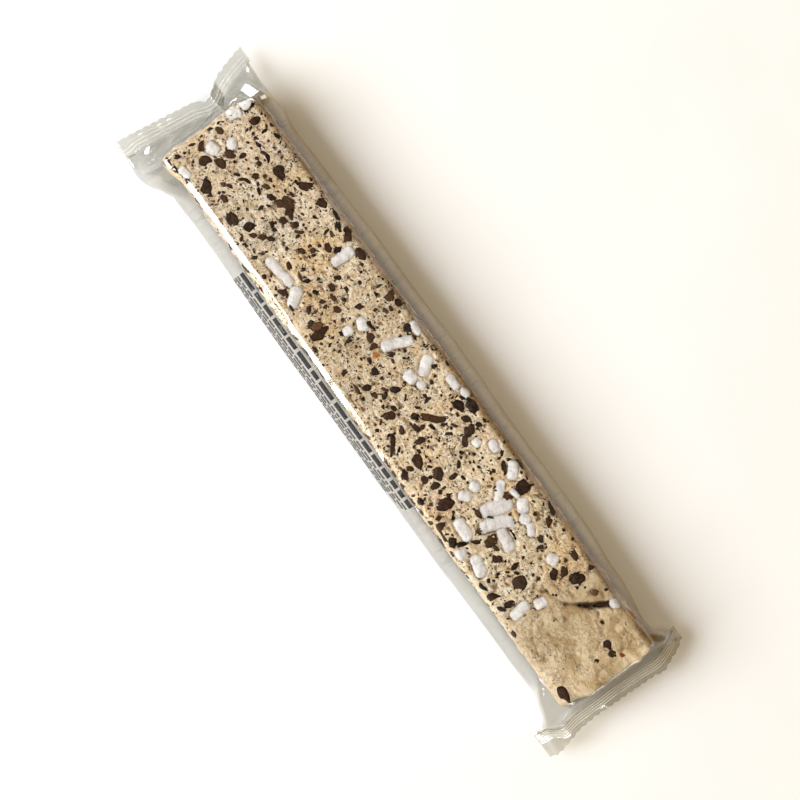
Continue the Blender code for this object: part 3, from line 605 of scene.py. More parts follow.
def on_bar(local, where):
    """Carry (along, round, out) points on to the bar: where is 0 for its four
    long faces, 1 for its left end and 2 for its right one."""
    out = np.zeros_like(local)
    for code in (0, 5, 1, 2):
        pick = np.flatnonzero(where == code)
        if not len(pick):
            continue
        u, v, w = local[pick].T
        if code in (0, 5):
            P, N = skin(u, v)
        else:
            sign = -1.0 if code == 1 else 1.0
            zc = (TOP_Z + BOTTOM_Z) / 2
            x = np.full(len(pick), X_LEFT if code == 1 else X_RIGHT)
            P = np.stack([x, sign * u, zc + v], -1)
            P[:, 0] += end_pull(P[:, 0], P[:, 1])
            N = np.tile([sign, 0.0, 0.0], (len(pick), 1))
        coarse, fine = relief(P, N)
        up = smooth((N[:, 2] - 0.3) / 0.5)
        height = coarse + (fine if code == 5 else 0.0)
        height = height + (pressed(height) - height) * up
        out[pick] = P + N * (height + w)[:, None]
    return out


def shard(rng, length, width, turn, bend=0.0, corners=5, depth=1.4, proud=0.1):
    """One broken piece, pressed level with the surface: a cornered outline, a
    narrow worn rim, a few flat facets and a body that goes down."""
    size = min(length, width)
    if bend or length > 3.2 * width:
        # A bar with blunt ends, so that it can be bent.
        half, w = length / 2, width / 2
        steps = np.linspace(-1, 1, 6)
        upper = [(half * t, w * (0.7 + 0.35 * rng.uniform(-1, 1)) * (1 - 0.45 * abs(t) ** 3)) for t in steps]
        lower = [(half * t, -w * (0.7 + 0.35 * rng.uniform(-1, 1)) * (1 - 0.45 * abs(t) ** 3)) for t in steps]
        outline = np.array(lower + upper[::-1])
    else:
        n = corners
        a = (np.arange(n) + rng.uniform(-0.30, 0.30, n)) * 2 * math.pi / n + rng.uniform(0, 6.3)
        r = rng.uniform(0.78, 1.16, n)
        if n >= 6 and rng.uniform() < 0.55:
            r[rng.integers(n)] *= rng.uniform(0.55, 0.75)  # a bitten-in corner
        outline = np.stack([np.cos(a) * r * length / 2, np.sin(a) * r * width / 2], -1)
    # Two short cuts take the point off each corner; longer edges get a nick.
    small = max(length, width) < 1.9
    nextp = np.roll(outline, -1, axis=0)
    parts = []
    for p, q in zip(outline, nextp):
        mid = (p + q) / 2 + rng.normal(0, 0.035, 2) * size
        parts += [0.87 * p + 0.13 * q] + ([] if small else [mid]) + [0.13 * p + 0.87 * q]
    outline = np.array(parts)
    low, high = outline.min(0), outline.max(0)
    outline = (outline - (high + low) / 2) * (length / (high - low)[0], width / (high - low)[1])
    if bend:
        radius = length / math.radians(abs(bend))
        sign = 1.0 if bend > 0 else -1.0
        ang, rad = outline[:, 0] / radius, radius + sign * outline[:, 1]
        outline = np.stack([np.sin(ang) * rad, sign * (np.cos(ang) * rad - radius)], -1)
        outline[:, 1] += sign * radius * (1 - math.cos(math.radians(abs(bend)) / 2)) / 2
    t = math.radians(turn)
    flat = outline @ np.array([[math.cos(t), math.sin(t)], [-math.sin(t), math.cos(t)]])
    k = len(flat)
    mid = flat.mean(0) if bend or length > 3.2 * width else flat.mean(0) + rng.normal(0, 0.10, 2) * size
    slopes = rng.normal(0, 0.10, (3, 2))
    rings = []
    levels = [(0.86, -depth), (1.0, -0.35), (1.0, -0.03), (0.91, 0.75), (0.66, 1.0), (0.34, 1.0)]
    shades = (1.0, 1.0, 1.0, 0.7, 0.15, 0.0)
    if small:
        levels = [(0.86, -0.6 * depth), (1.0, -0.03), (0.88, 0.8), (0.50, 1.0)]
        shades = (1.0, 1.0, 0.6, 0.0)
    for share, z in levels:
        q = mid + (flat - mid) * share
        if z <= 0:
            up = np.full(k, z)
        else:
            facets = np.min([(q - mid) @ c + o * 0.05 * size for c, o in zip(slopes, (0.4, 0.8, 1.2))], 0)
            up = proud * z + np.clip(facets, -0.16 * size, 0.06) + rng.normal(0, 0.006 * min(size, 3), k)
        rings.append(np.column_stack([q, up]))
    verts = np.concatenate(rings + [[[*mid, -depth]], [[*mid, proud + 0.02]]])
    faces = []
    for level in range(len(rings) - 1):
        for i in range(k):
            j = (i + 1) % k
            faces.append((level * k + i, level * k + j, (level + 1) * k + j, (level + 1) * k + i))
    last = (len(rings) - 1) * k
    for i in range(k):
        j = (i + 1) % k
        faces.append((j, i, len(verts) - 2))
        faces.append((last + i, last + j, len(verts) - 1))
    rim = np.concatenate([np.full(k, v) for v in shades] + [[1.0], [0.0]])
    return verts, faces, rim


def speck(rng, size, proud=0.05):
    """A ground crumb: a small lumpy pebble."""
    k = 5
    a = np.arange(k) * 2 * math.pi / k + rng.uniform(0, 6.3)
    stretch = rng.uniform(0.75, 1.35)
    rings = []
    for share, z in ((0.65, -0.5 * size), (1.0, -0.10 * size), (0.74, proud)):
        r = size / 2 * share * rng.uniform(0.82, 1.18, k)
        rings.append(np.column_stack([np.cos(a) * r * stretch, np.sin(a) * r / stretch, np.full(k, z)]))
    verts = np.concatenate(rings + [[[0, 0, -0.6 * size]], [[0, 0, proud + 0.05 * size]]])
    t = rng.uniform(0, 6.3)
    verts[:, :2] = verts[:, :2] @ np.array([[math.cos(t), math.sin(t)], [-math.sin(t), math.cos(t)]])
    faces = []
    for level in range(2):
        for i in range(k):
            j = (i + 1) % k
            faces.append((level * k + i, level * k + j, (level + 1) * k + j, (level + 1) * k + i))
    for i in range(k):
        j = (i + 1) % k
        faces.append((j, i, 3 * k))
        faces.append((2 * k + i, 2 * k + j, 3 * k + 1))
    return verts, faces


def rod(rng, length, width, turn, proud=0.16):
    """A sugar rod: a blunt, lumpy cylinder with faint rings, pressed level."""
    around, steps = 26, max(16, int(length * 4))
    radius = width / 2
    s = np.linspace(-1, 1, steps + 1)
    # Blunt ends: a superellipse in profile.
    cap = radius * rng.uniform(0.80, 1.05)
    end = np.clip((np.abs(s) * length / 2 - (length / 2 - cap)) / cap, 0, 1)
    profile = radius * (1 - end ** rng.uniform(2.2, 3.0)) ** 0.5
    lobes = max(1.0, length * rng.uniform(0.25, 0.45))
    drift = np.cumsum(rng.normal(0, 0.12, steps + 1))
    wave = np.cos(np.pi * (lobes * s + drift) + rng.uniform(0, 6.3))
    strength = rng.uniform(0.02, 0.05)
    waist = 1.0 + rng.uniform(-0.01, 0.07) * (s**2 - 0.5) + rng.uniform(-0.05, 0.05) * s
    profile = profile * waist * (1.0 - strength * np.clip(wave, 0, 1) ** 4 + 0.012 * wave)
    a = np.arange(around) * 2 * math.pi / around
    bend = rng.normal(0, 0.035) * length
    verts = np.concatenate(
        [
            np.column_stack(
                [
                    np.full(around, s[i] * length / 2),
                    bend * (1 - s[i] ** 2) + np.cos(a) * profile[i],
                    np.sin(a) * profile[i] * 0.95,
                ]
            )
            for i in range(steps + 1)
        ]
    )
    shift = float(rng.integers(1, 9999))
    swell = [noise(verts + shift, size, 91 + i) for i, size in enumerate((2.6, 1.3, 0.65))]
    radial = verts * (0.0, 1.0, 1.0)
    norm = np.linalg.norm(radial, axis=1)[:, None] + 1e-6
    lump = (0.24 * swell[0] + 0.15 * swell[1] + 0.055 * swell[2])[:, None]
    verts = verts + radial / norm * lump * np.clip(norm / radius, 0, 1)
    verts[:, 0] += 0.12 * noise(verts * (0.2, 1, 1) + shift, 1.4, 99) * np.abs(verts[:, 0]) / (length / 2)
    # Pressed by the film: the crown is softly flattened.
    crown = radius * 0.50
    z = verts[:, 2]
    verts[:, 2] = np.where(z > crown, crown + (z - crown) * 0.46, z)
    # How far round towards the side each point lies: painted shade goes there.
    edge = np.clip((np.abs(np.arctan2(verts[:, 1], verts[:, 2])) - 0.75) / 0.8, 0, 1)
    verts[:, 2] += proud - verts[:, 2].max()
    t = math.radians(turn)
    verts[:, :2] = verts[:, :2] @ np.array([[math.cos(t), math.sin(t)], [-math.sin(t), math.cos(t)]])
    faces = []
    for i in range(steps):
        for j in range(around):
            k = (j + 1) % around
            faces.append((i * around + j, i * around + k, (i + 1) * around + k, (i + 1) * around + j))
    first, last = len(verts), len(verts) + 1
    verts = np.concatenate([verts, [verts[:around].mean(0)], [verts[-around:].mean(0)]])
    for j in range(around):
        k = (j + 1) % around
        faces.append((k, j, first))
        faces.append((steps * around + j, steps * around + k, last))
    # The third result is painted shade: darker in the ring grooves, down the sides and at the blunt tips.
    ring = np.repeat(np.clip(wave, 0, 1) ** 4 * strength * 8, around)
    tip = np.repeat(np.clip((end - 0.45) / 0.55, 0, 1), around)
    ring = np.concatenate([np.clip(ring + np.maximum(edge, tip), 0, 1), [1, 1]])
    return verts, faces, ring


def chip_density(x):
    """Chips and crumbs thin out on the pulled end."""
    return 1.0 - 0.95 * smooth((x - 66.0) / 10.0) - 0.25 * smooth((x - 48.0) / 8.0) * (1 - smooth((x - 66.0) / 10.0))


def plan_inclusions():
    """Where everything lies, before any of it is made: face code, along, round,
    length, width, turn and so on."""
    rng = np.random.default_rng(20231)
    rods, chips, crumbs, amber, taken = [], [], [], [], []

    def clear(where, u, v, reach):
        for face, a, b, r in taken:
            if face == where and (u - a) ** 2 + (v - b) ** 2 < (reach + r) ** 2:
                return False
        return True

    def claim(where, u, v, length, width, turn):
        steps = max(1, int(round(length / max(width, 0.8))))
        a = math.radians(turn)
        for i in range(steps):
            t = ((i + 0.5) / steps - 0.5) * (length - min(width, length) * 0.4)
            taken.append((where, u + t * math.cos(a), v + t * math.sin(a), width / 2))

    for u, v, length, width, turn in RODS:
        rods.append((0, u, v, length, width, turn, 0.17))
        claim(0, u, v, length, width, turn)
    for u, v, length, width, turn, tone, red, bend in CHIPS:
        deep = 77 < u < 83 and 5 < v < 12  # these lie down in the crack
        length, width = 1.06 * length + 0.1, 1.06 * width + 0.1
        chips.append((0, u, v, length, width, turn, tone, red, bend, -0.75 if deep else 0.11))
        claim(0, u, v, length, width, turn)
    for u, v, length, width, turn in AMBER:
        amber.append((0, u, v, length, width, turn))
        claim(0, u, v, length, width, turn)

    front_start, rear_start = 15.6, 15.4  # where the drawn top face ends
    reach_r, reach_f = (float(v[0]) for v in half_reach(np.zeros(1)))
    # Zones: face code, u and s ranges, rods, share of chips.
    zones = [
        (0, (-97.5, 97.5), (rear_start, reach_r), 17),
        (0, (-97.5, 97.5), (-reach_f, -front_start), 17),
        (0, (-97.5, 97.5), (-front_start, rear_start), 0),
        (1, (-14.5, 14.5), (-6.6, 6.6), 2),
        (2, (-14.5, 14.5), (-6.6, 6.6), 2),
    ]
    for where, (u0, u1), (v0, v1), count in zones:
        drawn = where == 0 and v0 < 0 < v1
        area = (u1 - u0) * (v1 - v0)
        thin = chip_density if where == 0 else (lambda u: 1.0 if where == 1 else 0.10)
        for _ in range(count):
            u = rng.uniform(u0 + 4, u1 - 4)
            if where == 0:
                # On a side or under the bar, clear of the rounded edges.
                band = (18.9, 27.6) if rng.uniform() < 0.45 else (35.5, 46.0)
                v = rng.uniform(*band) * (1 if v0 > 0 else -1)
            else:
                v = rng.uniform(-4.5, 4.5)
            length, width = rng.uniform(3.6, 9.0), rng.uniform(3.2, 4.4)
            turn = rng.uniform(-90, 90) * (0.35 if abs(v) < 30 else 1.0)
            if clear(where, u, v, length / 2 + 0.4):
                rods.append((where, u, v, length, width, turn, rng.uniform(0.15, 0.30)))
                claim(where, u, v, length, width, turn)
        sizes = [(0.16, 0.65, 1.7)] if drawn else [(0.0075, 3.0, 4.8), (0.022, 1.6, 2.9), (0.055, 0.7, 1.5)]
        for per_mm2, small, large in sizes:
            for _ in range(int(area * per_mm2)):
                u, v = rng.uniform(u0, u1), rng.uniform(v0, v1)
                length = small + (large - small) * rng.beta(1.0, 1.6)
                width = length * rng.uniform(0.45, 0.95)
                turn, tone, red = rng.uniform(-90, 90), 0.8 * rng.beta(1.1, 2.2), 0.6 * rng.uniform() ** 4
                bend = rng.uniform(50, 110) * rng.choice([-1, 1]) if rng.uniform() < 0.07 and length > 1.4 else 0.0
                if rng.uniform() > thin(u) or not clear(where, u, v, width * 0.4):
                    continue
                if where == 0 and 16.0 < v < 18.8:
                    continue
                chips.append((where, u, v, length, width, turn, tone, red, bend, 0.09))
                claim(where, u, v, length, width, turn)
        if drawn:
            for _ in range(60):
                u, v = rng.uniform(u0, u1), -rng.uniform(15.4, 18.2)
                length = rng.uniform(1.2, 3.6)
                if rng.uniform() < thin(u) and clear(where, u, v, 0.5):
                    width, turn = length * rng.uniform(0.4, 0.8), rng.uniform(-35, 35)
                    chips.append((where, u, v, length, width, turn, 0.5 * rng.uniform() ** 2, 0.3 * rng.uniform(), 0.0, 0.09))
                    claim(where, u, v, length, width, turn)
        solid = [t for t in taken if t[0] == where]
        blocks = np.array([t[1:] for t in solid]) if solid else np.zeros((0, 3))
        for _ in range(int(area * (1.35 if drawn else 0.36))):
            u, v = rng.uniform(u0, u1), rng.uniform(v0, v1)
            size = 0.26 + 0.55 * rng.beta(1.1, 2.6)
            drift = 0.30 + 0.70 * math.sin(u * 0.17 + v * 0.33 + 1.1) ** 2
            # The crumbs gather in drifts on the pulled half and leave it plain between.
            drift = drift ** (1.0 + 1.6 * float(smooth((u - 8.0) / 14.0)))
            if rng.uniform() > thin(u) * drift + 0.025 or (where == 0 and 16.4 < v < 18.6):
                continue
            if len(blocks) and ((blocks[:, 0] - u) ** 2 + (blocks[:, 1] - v) ** 2 < (blocks[:, 2] + 0.1) ** 2).any():
                continue
            crumbs.append((5 if where == 0 else where, u, v, size))
    return {"rods": rods, "chips": chips, "crumbs": crumbs, "amber": amber}


def inclusions(plan):
    rng = np.random.default_rng(911)
    chips, crumbs, rods, amber = Heap("tone", "red", "rim"), Heap("tone"), Heap("ring", "tone"), Heap("tone")

    def put(heap, where, u, v, made, **values):
        verts = np.array(made[0], float)
        verts[:, 0] += u
        verts[:, 1] += v
        heap.add(verts, made[1], where, **values)

    for where, u, v, length, width, turn, proud in plan["rods"]:
        made = rod(rng, length, width, turn, proud)
        put(rods, where, u, v, made, ring=made[2], tone=rng.uniform(0, 1))
    for where, u, v, length, width, turn, tone, red, bend, proud in plan["chips"]:
        size = max(length, width)
        corners = int(rng.integers(6, 9)) if size > 2.2 else int(rng.integers(4, 6))
        made = shard(rng, length, width, turn, bend, corners, min(2.2, 0.7 * width + 0.3), proud)
        put(chips, where, u, v, made, tone=tone, red=red, rim=made[2])
    for where, u, v, length, width, turn in plan["amber"]:
        made = shard(rng, length, width, turn, 0.0, 6, 1.0, 0.14)
        put(amber, where, u, v, made, tone=1.0 if u > 50 else 0.0)
    for where, u, v, size in plan["crumbs"]:
        made = speck(rng, size, 0.05)
        put(crumbs, where, u, v, made, tone=rng.uniform(0, 1) ** 1.6)
    return {
        "chocolate_chips": chips.make("chocolate_chips", on_bar, False),
        "coffee_crumbs": crumbs.make("coffee_crumbs", on_bar),
        "sugar_rods": rods.make("sugar_rods", on_bar),
        "candied_bits": amber.make("candied_bits", on_bar),
    }


# ================================================================ the film ====
# Outline of the sleeve's two sides seen from above: x and y.
FRONT_SIDE = [
    (-114, -25.0), (-111, -24.9), (-105, -25.4), (-98, -26.2), (-94, -24.2), (-92, -22.8),
    (-88, -21.1), (-80, -20.8), (-60, -21.1), (-40, -21.3), (0, -21.5), (50, -21.3),
    (80, -20.9), (90, -20.5), (92, -21.0), (98, -22.8), (99.7, -24.0), (100.3, -27.4), (110, -27.9),
]
REAR_SIDE = [
    (-114, 21.0), (-110, 19.9), (-105, 19.8), (-100, 19.6), (-92, 19.9), (-90, 20.4), (-84, 19.5),
    (-80, 19.5), (-60, 20.0), (-40, 20.4), (0, 20.9), (60, 20.7), (80, 19.7), (85, 19.0), (92, 17.8),
    (95, 18.3), (98, 20.6), (99.5, 23.0), (100.5, 23.7), (103, 23.4), (104.5, 22.2), (110, 20.0),
]
# The cut edges: y and x, front to rear.
LEFT_CUT = [
    (-30, -111.9), (-25, -111.2), (-13, -109.4), (-2, -107.7), (0.8, -107.1), (3, -105.4),
    (4.6, -105.6), (10, -109.5), (14, -110.8), (19.8, -112.4), (30, -113.4),
]
RIGHT_CUT = [
    (-30, 107.8), (-25.4, 109.2), (-22, 108.6), (-16, 106.9), (-10, 106.5), (10.8, 106.9),
    (14, 107.6), (20.6, 104.9), (24.2, 102.6), (30, 100.6),
]
# The line each crimp follows across the sleeve: y and z, with its folds.
LEFT_LINE = [
    (-25.4, 6.9), (-22, 7.3), (-17, 7.8), (-12.6, 7.5), (-8, 7.6), (0, 7.9), (5, 7.75), (8.3, 7.55),
    (8.75, 7.72), (8.3, 7.9), (5.0, 8.15), (4.55, 8.32), (5.0, 8.5), (9, 8.15), (13, 7.9), (17, 7.5), (20.7, 6.6),
]
RIGHT_LINE = [
    (-27.8, 4.9), (-24.5, 5.9), (-19, 7.5), (-14.5, 6.6), (-9, 7.0), (-3, 7.5), (3, 7.0),
    (9, 7.3), (14, 7.6), (18, 6.5), (21.5, 6.3), (24.1, 5.2),
]
COLUMNS = 264
TOOTH = 6  # columns to a tooth of the cut edge
FILM_TOP, FILM_LOW = 17.70, 0.30


def side_shapes(brow=None):
    """A family of side curves, from tight to loose, as (how far out, points).
    brow is a slanting facet, as (first tilt, last tilt, share of the curve)."""
    made = []
    for lean in np.arange(5.0, 80.0, 1.5):
        u = np.linspace(0, 1, 241)
        if brow:
            first, last, wide = brow
            at = [0, 0.012, wide, wide + 0.03, 0.45, 0.6, 1.0]
            to = [0, first, last, max(last, lean), max(last, min(88, lean + 27)), 90, 180]
        else:
            at, to = [0, 0.085, 0.45, 0.6, 1.0], [0, lean, min(88, lean + 27), 90, 180]
        tilt = np.radians(np.interp(u, at, to))
        step = np.stack([np.cos(tilt), -np.sin(tilt)], -1)
        pts = np.concatenate([[[0, 0]], np.cumsum((step[1:] + step[:-1]) / 2, 0)]) / 240
        pts *= (FILM_TOP - FILM_LOW) / -pts[-1, 1]
        made.append((pts[:, 0].max(), pts))
    made.sort(key=lambda item: item[0])
    return made


SHAPES = side_shapes()
BROW = side_shapes((13.0, 33.0, 0.088))
STEEP = side_shapes((14.0, 50.0, 0.030))


def resample(points, count):
    """Points evenly spaced along a polyline, ends included."""
    d = np.linalg.norm(np.diff(points, axis=0), axis=1)
    s = np.concatenate([[0], np.cumsum(d)])
    t = np.linspace(0, s[-1], count)
    return np.stack([np.interp(t, s, points[:, k]) for k in range(points.shape[1])], -1)


def side_curve(out, shapes):
    reach = np.array([m[0] for m in shapes])
    i = int(np.clip(np.searchsorted(reach, out), 1, len(reach) - 1))
    t = float(np.clip((out - reach[i - 1]) / (reach[i] - reach[i - 1] + 1e-9), 0, 1))
    return shapes[i - 1][1] * (1 - t) + shapes[i][1] * t


def outline(x, side):
    table = np.array(side, float)
    return np.interp(x, table[:, 0], table[:, 1])


def sleeve_row(x):
    """The film's section at x: column 0 is the front's outermost line, and the
    first half of the columns lie over the bar."""
    front, rear = (float(v[0]) for v in bar_edges(np.array([x])))
    out_f, out_r = (abs(float(outline(x, side))) for side in (FRONT_SIDE, REAR_SIDE))
    # Along the front's top edge the film is a slanting facet, pinched by a fold.
    pinch = float(smooth((x + 60.0) / 13.0) * (1 - smooth((x + 40.5) / 2.4)))
    y_f, y_r = front + 2.55 - 0.35 * float(smooth((x + 40.5) / 2.4)), rear - 2.85
    a = side_curve(out_f + y_f, BROW) * (1 - pinch) + side_curve(out_f + y_f, STEEP) * pinch
    b = side_curve(out_r - y_r, SHAPES)
    fa = np.stack([y_f - a[:, 0], FILM_TOP + a[:, 1]], -1)
    rb = np.stack([y_r + b[:, 0], FILM_TOP + b[:, 1]], -1)
    ka, kb = int(a[:, 0].argmax()), int(b[:, 0].argmax())
    over = np.concatenate([fa[: ka + 1][::-1], rb[: kb + 1]])
    under = np.concatenate([rb[kb:], fa[ka:][::-1]])
    half = COLUMNS // 2
    ring = np.concatenate([resample(over, half + 1)[:-1], resample(under, half + 1)[:-1]])
    return np.column_stack([np.full(COLUMNS, x), ring])


def crimp_rows(cut, line, side, count, width, flare, pitch, seed):
    """The welded end: rows from its inner border to its cut edge, and how far
    each point is up a rib. flare widens the welded part at the front ear."""
    half = COLUMNS // 2
    pts = resample(np.array(line, float), 60 * len(line))
    for _ in range(40):  # soften the corners of the drawn line
        pts[1:-1] = (pts[:-2] + pts[2:] + 2 * pts[1:-1]) / 4
    centre = resample(pts, half + 1)
    tangent = np.gradient(centre, axis=0)
    tangent /= np.linalg.norm(tangent, axis=1)[:, None]
    normal = np.stack([-tangent[:, 1], tangent[:, 0]], -1)
    gap = 0.05 * np.sin(np.linspace(0, math.pi, half + 1)) ** 0.5
    over = centre + normal * gap[:, None]
    under = (centre - normal * gap[:, None])[::-1]
    ring = np.concatenate([over[:-1], under[:-1]])
    index = np.concatenate([np.arange(half), np.arange(half, 0, -1)])
    table = np.array(cut, float)
    y = ring[:, 0]
    edge = np.interp(y, table[:, 0], table[:, 1])
    near = edge.copy()
    for shift in (-2.4, -1.2, 1.2, 2.4):  # the inner border is softer than the cut
        near = near + np.interp(y + shift, table[:, 0], table[:, 1])
    near = near / 5 - side * (width + flare * smooth((-19.5 - y) / 5.0))
    tooth = np.abs((index % TOOTH) - TOOTH / 2) / (TOOTH / 2) - 0.5
    rows, ribs = [], []
    for i in range(count + 1):
        t = i / count
        x = near + (edge - near) * t + side * 0.44 * tooth * smooth((t - 0.86) / 0.14)
        d = np.abs(edge - near) * t  # out from the inner border
        spot = np.stack([y, d * 0.5, y * 0 + seed], -1)
        wander = 0.22 * noise(spot, 9.0, 303)
        band = smooth(d / 0.5) * smooth((width * 0.80 - d) / 0.7)
        rib = np.sin(2 * math.pi * (d + wander) / pitch) * band
        tone = 1.0 + 0.5 * noise(spot, 5.0, 301)
        soft = 0.42 * noise(spot * (1.0, 0.8, 1.0), 4.4, 311) + 0.16 * noise(spot, 1.9, 313)
        z = ring[:, 1] + (0.10 if side < 0 else 0.15) * rib * tone + soft * (0.15 + 0.85 * t)
        rows.append(np.stack([x, y, z], -1))
        ribs.append(0.5 + 0.5 * rib * np.clip(tone, 0.4, 1.4))
    return np.array(rows), np.array(ribs)


def pairs(X, W, rest, axis, k, stiff, limit=None):
    """Keep points k apart along an axis at their rest distance. With a limit,
    only push apart those closer than that share of it."""
    if axis == 0:
        for off in (0, k):
            m = (len(X) - off) // (2 * k)
            if m < 1:
                continue
            v = X[off : off + 2 * k * m].reshape(m, 2 * k, *X.shape[1:])
            w = W[off : off + 2 * k * m].reshape(m, 2 * k, *W.shape[1:])
            r = rest[off : off + 2 * k * m].reshape(m, 2 * k, -1)[:, :k]
            push(v[:, :k], v[:, k:], w[:, :k], w[:, k:], r, stiff, limit)
    else:
        c = X.shape[1] // (2 * k)
        v = X.reshape(len(X), c, 2 * k, 3)
        w = W.reshape(len(X), c, 2 * k, 1)
        r = rest.reshape(len(X), c, 2 * k)
        push(v[:, :, :k], v[:, :, k:], w[:, :, :k], w[:, :, k:], r[:, :, :k], stiff, limit)
        b, wb = np.roll(v[:, :, :k], -1, 1), np.roll(w[:, :, :k], -1, 1)
        push(v[:, :, k:], b, w[:, :, k:], wb, r[:, :, k:], stiff, limit)
        v[:, :, :k] = np.roll(b, 1, 1)


def push(a, b, wa, wb, rest, stiff, limit):
    d = b - a
    n = np.sqrt((d * d).sum(-1)) + 1e-9
    gap = n - rest * (limit or 1.0)
    if limit:
        gap = np.minimum(gap, 0.0)
    move = d * (stiff * gap / n)[..., None] / np.maximum(wa + wb, 1e-9)
    a += move * wa
    b -= move * wb


def slants(X, W, rest, turn, stiff):
    for off in (0, 1):
        a, wa = X[off:-1:2], W[off:-1:2]
        src, ws = X[off + 1 :: 2][: len(a)], W[off + 1 :: 2][: len(a)]
        b, wb = np.roll(src, -turn, 1), np.roll(ws, -turn, 1)
        push(a, b, wa, wb, rest[off::2][: len(a)], stiff, None)
        src[:] = np.roll(b, turn, 1)


def keep_out(X):
    """Nothing of the film goes into the bar, or under its bed."""
    x, y, z = X[..., 0], X[..., 1], X[..., 2]
    xc = (X_LEFT + X_RIGHT) / 2
    front = FRONT_Y - 1.3 * smooth((-88.0 - x) / 9.0)
    rear = REAR_Y - 0.7 * smooth((-90.0 - x) / 8.0)
    lean = REAR_LEAN * np.clip(1 - z / 15, 0, 1) ** 0.8
    yc = (front + rear + lean) / 2
    hy = (rear + lean - front) / 2 + 0.42
    zc, hz = (FILM_TOP + FILM_LOW) / 2, (FILM_TOP - FILM_LOW) / 2
    hx = (X_RIGHT - X_LEFT) / 2 + 0.45
    pull = end_pull(x, y)
    r = 2.5
    px, py, pz = x - pull - xc, y - yc, z - zc
    qx, qy, qz = np.abs(px) - (hx - r), np.abs(py) - (hy - r), np.abs(pz) - (hz - r)
    ox, oy, oz = np.maximum(qx, 0), np.maximum(qy, 0), np.maximum(qz, 0)
    n = np.sqrt(ox * ox + oy * oy + oz * oz)
    inner = np.minimum(np.maximum(np.maximum(qx, qy), qz), 0)
    d = n + inner - r
    hit = d < 0
    safe = np.maximum(n, 1e-6)
    gx, gy, gz = np.sign(px) * ox / safe, np.sign(py) * oy / safe, np.sign(pz) * oz / safe
    deep = inner < 0
    gz = np.where(deep, np.sign(pz), gz)
    gx, gy = np.where(deep, 0, gx), np.where(deep, 0, gy)
    X[..., 0] = np.where(hit, x - d * gx, x)
    X[..., 1] = np.where(hit, y - d * gy, y)
    X[..., 2] = np.where(hit, z - d * gz, z)
    X[..., 1] = np.clip(X[..., 1], outline(X[..., 0], FRONT_SIDE), outline(X[..., 0], REAR_SIDE))
    X[..., 2] = np.maximum(X[..., 2], FILM_LOW)


def row_normals(X):
    along = np.gradient(X, axis=0)
    around = np.roll(X, -1, 1) - np.roll(X, 1, 1)
    n = np.cross(along, around)
    return n / (np.linalg.norm(n, axis=-1, keepdims=True) + 1e-12)


def settle(X, rest_a, rest_c, rounds, air, seed):
    """Let a stretch of the sleeve find its folds: its first and last rows stay
    where they are, and its threads keep their length."""
    W = np.ones(X.shape[:2] + (1,))
    W[0] = W[-1] = 0
    R, C = X.shape[:2]
    flat = X.reshape(-1, 3)
    X = X + 0.10 * np.stack([noise(flat, 3.0, seed + i) for i in range(3)], -1).reshape(X.shape) * W
    around2 = np.roll(rest_c, -1, 1) + rest_c
    around4 = np.roll(around2, -2, 1) + around2
    along2 = rest_a.copy()
    along2[:-1] += rest_a[1:]
    along4 = along2.copy()
    along4[:-2] += along2[2:]
    slant = np.sqrt(rest_a[:-1] ** 2 + ((rest_c[:-1] + rest_c[1:]) / 2) ** 2)
    before = X.copy()
    for step in range(rounds):
        speed = (X - before) * (0.93 if step < rounds * 0.75 else 0.8)
        before = X.copy()
        if step % 8 == 0:
            outward = row_normals(X)
        wide = np.sign(X[..., 1:2]) * smooth((np.abs(X[..., 1:2]) - 16.5) / 2.0)
        X = X + (speed + outward * air - np.array([0, 0, 0.0009])) * W
        X[..., 1:2] += wide * 0.0022 * W
        pairs(X, W, along4, 0, 4, 0.14, 0.985)
        pairs(X, W, around4, 1, 4, 0.14, 0.975)
        pairs(X, W, along2, 0, 2, 0.22, 0.985)
        pairs(X, W, around2, 1, 2, 0.22, 0.98)
        slants(X, W, slant, 1, 0.35)
        slants(X, W, slant, -1, 0.35)
        pairs(X, W, rest_c, 1, 1, 0.9)
        pairs(X, W, rest_a, 0, 1, 0.9)
        save = X[[0, -1]].copy()
        keep_out(X)
        X[[0, -1]] = save
    return X


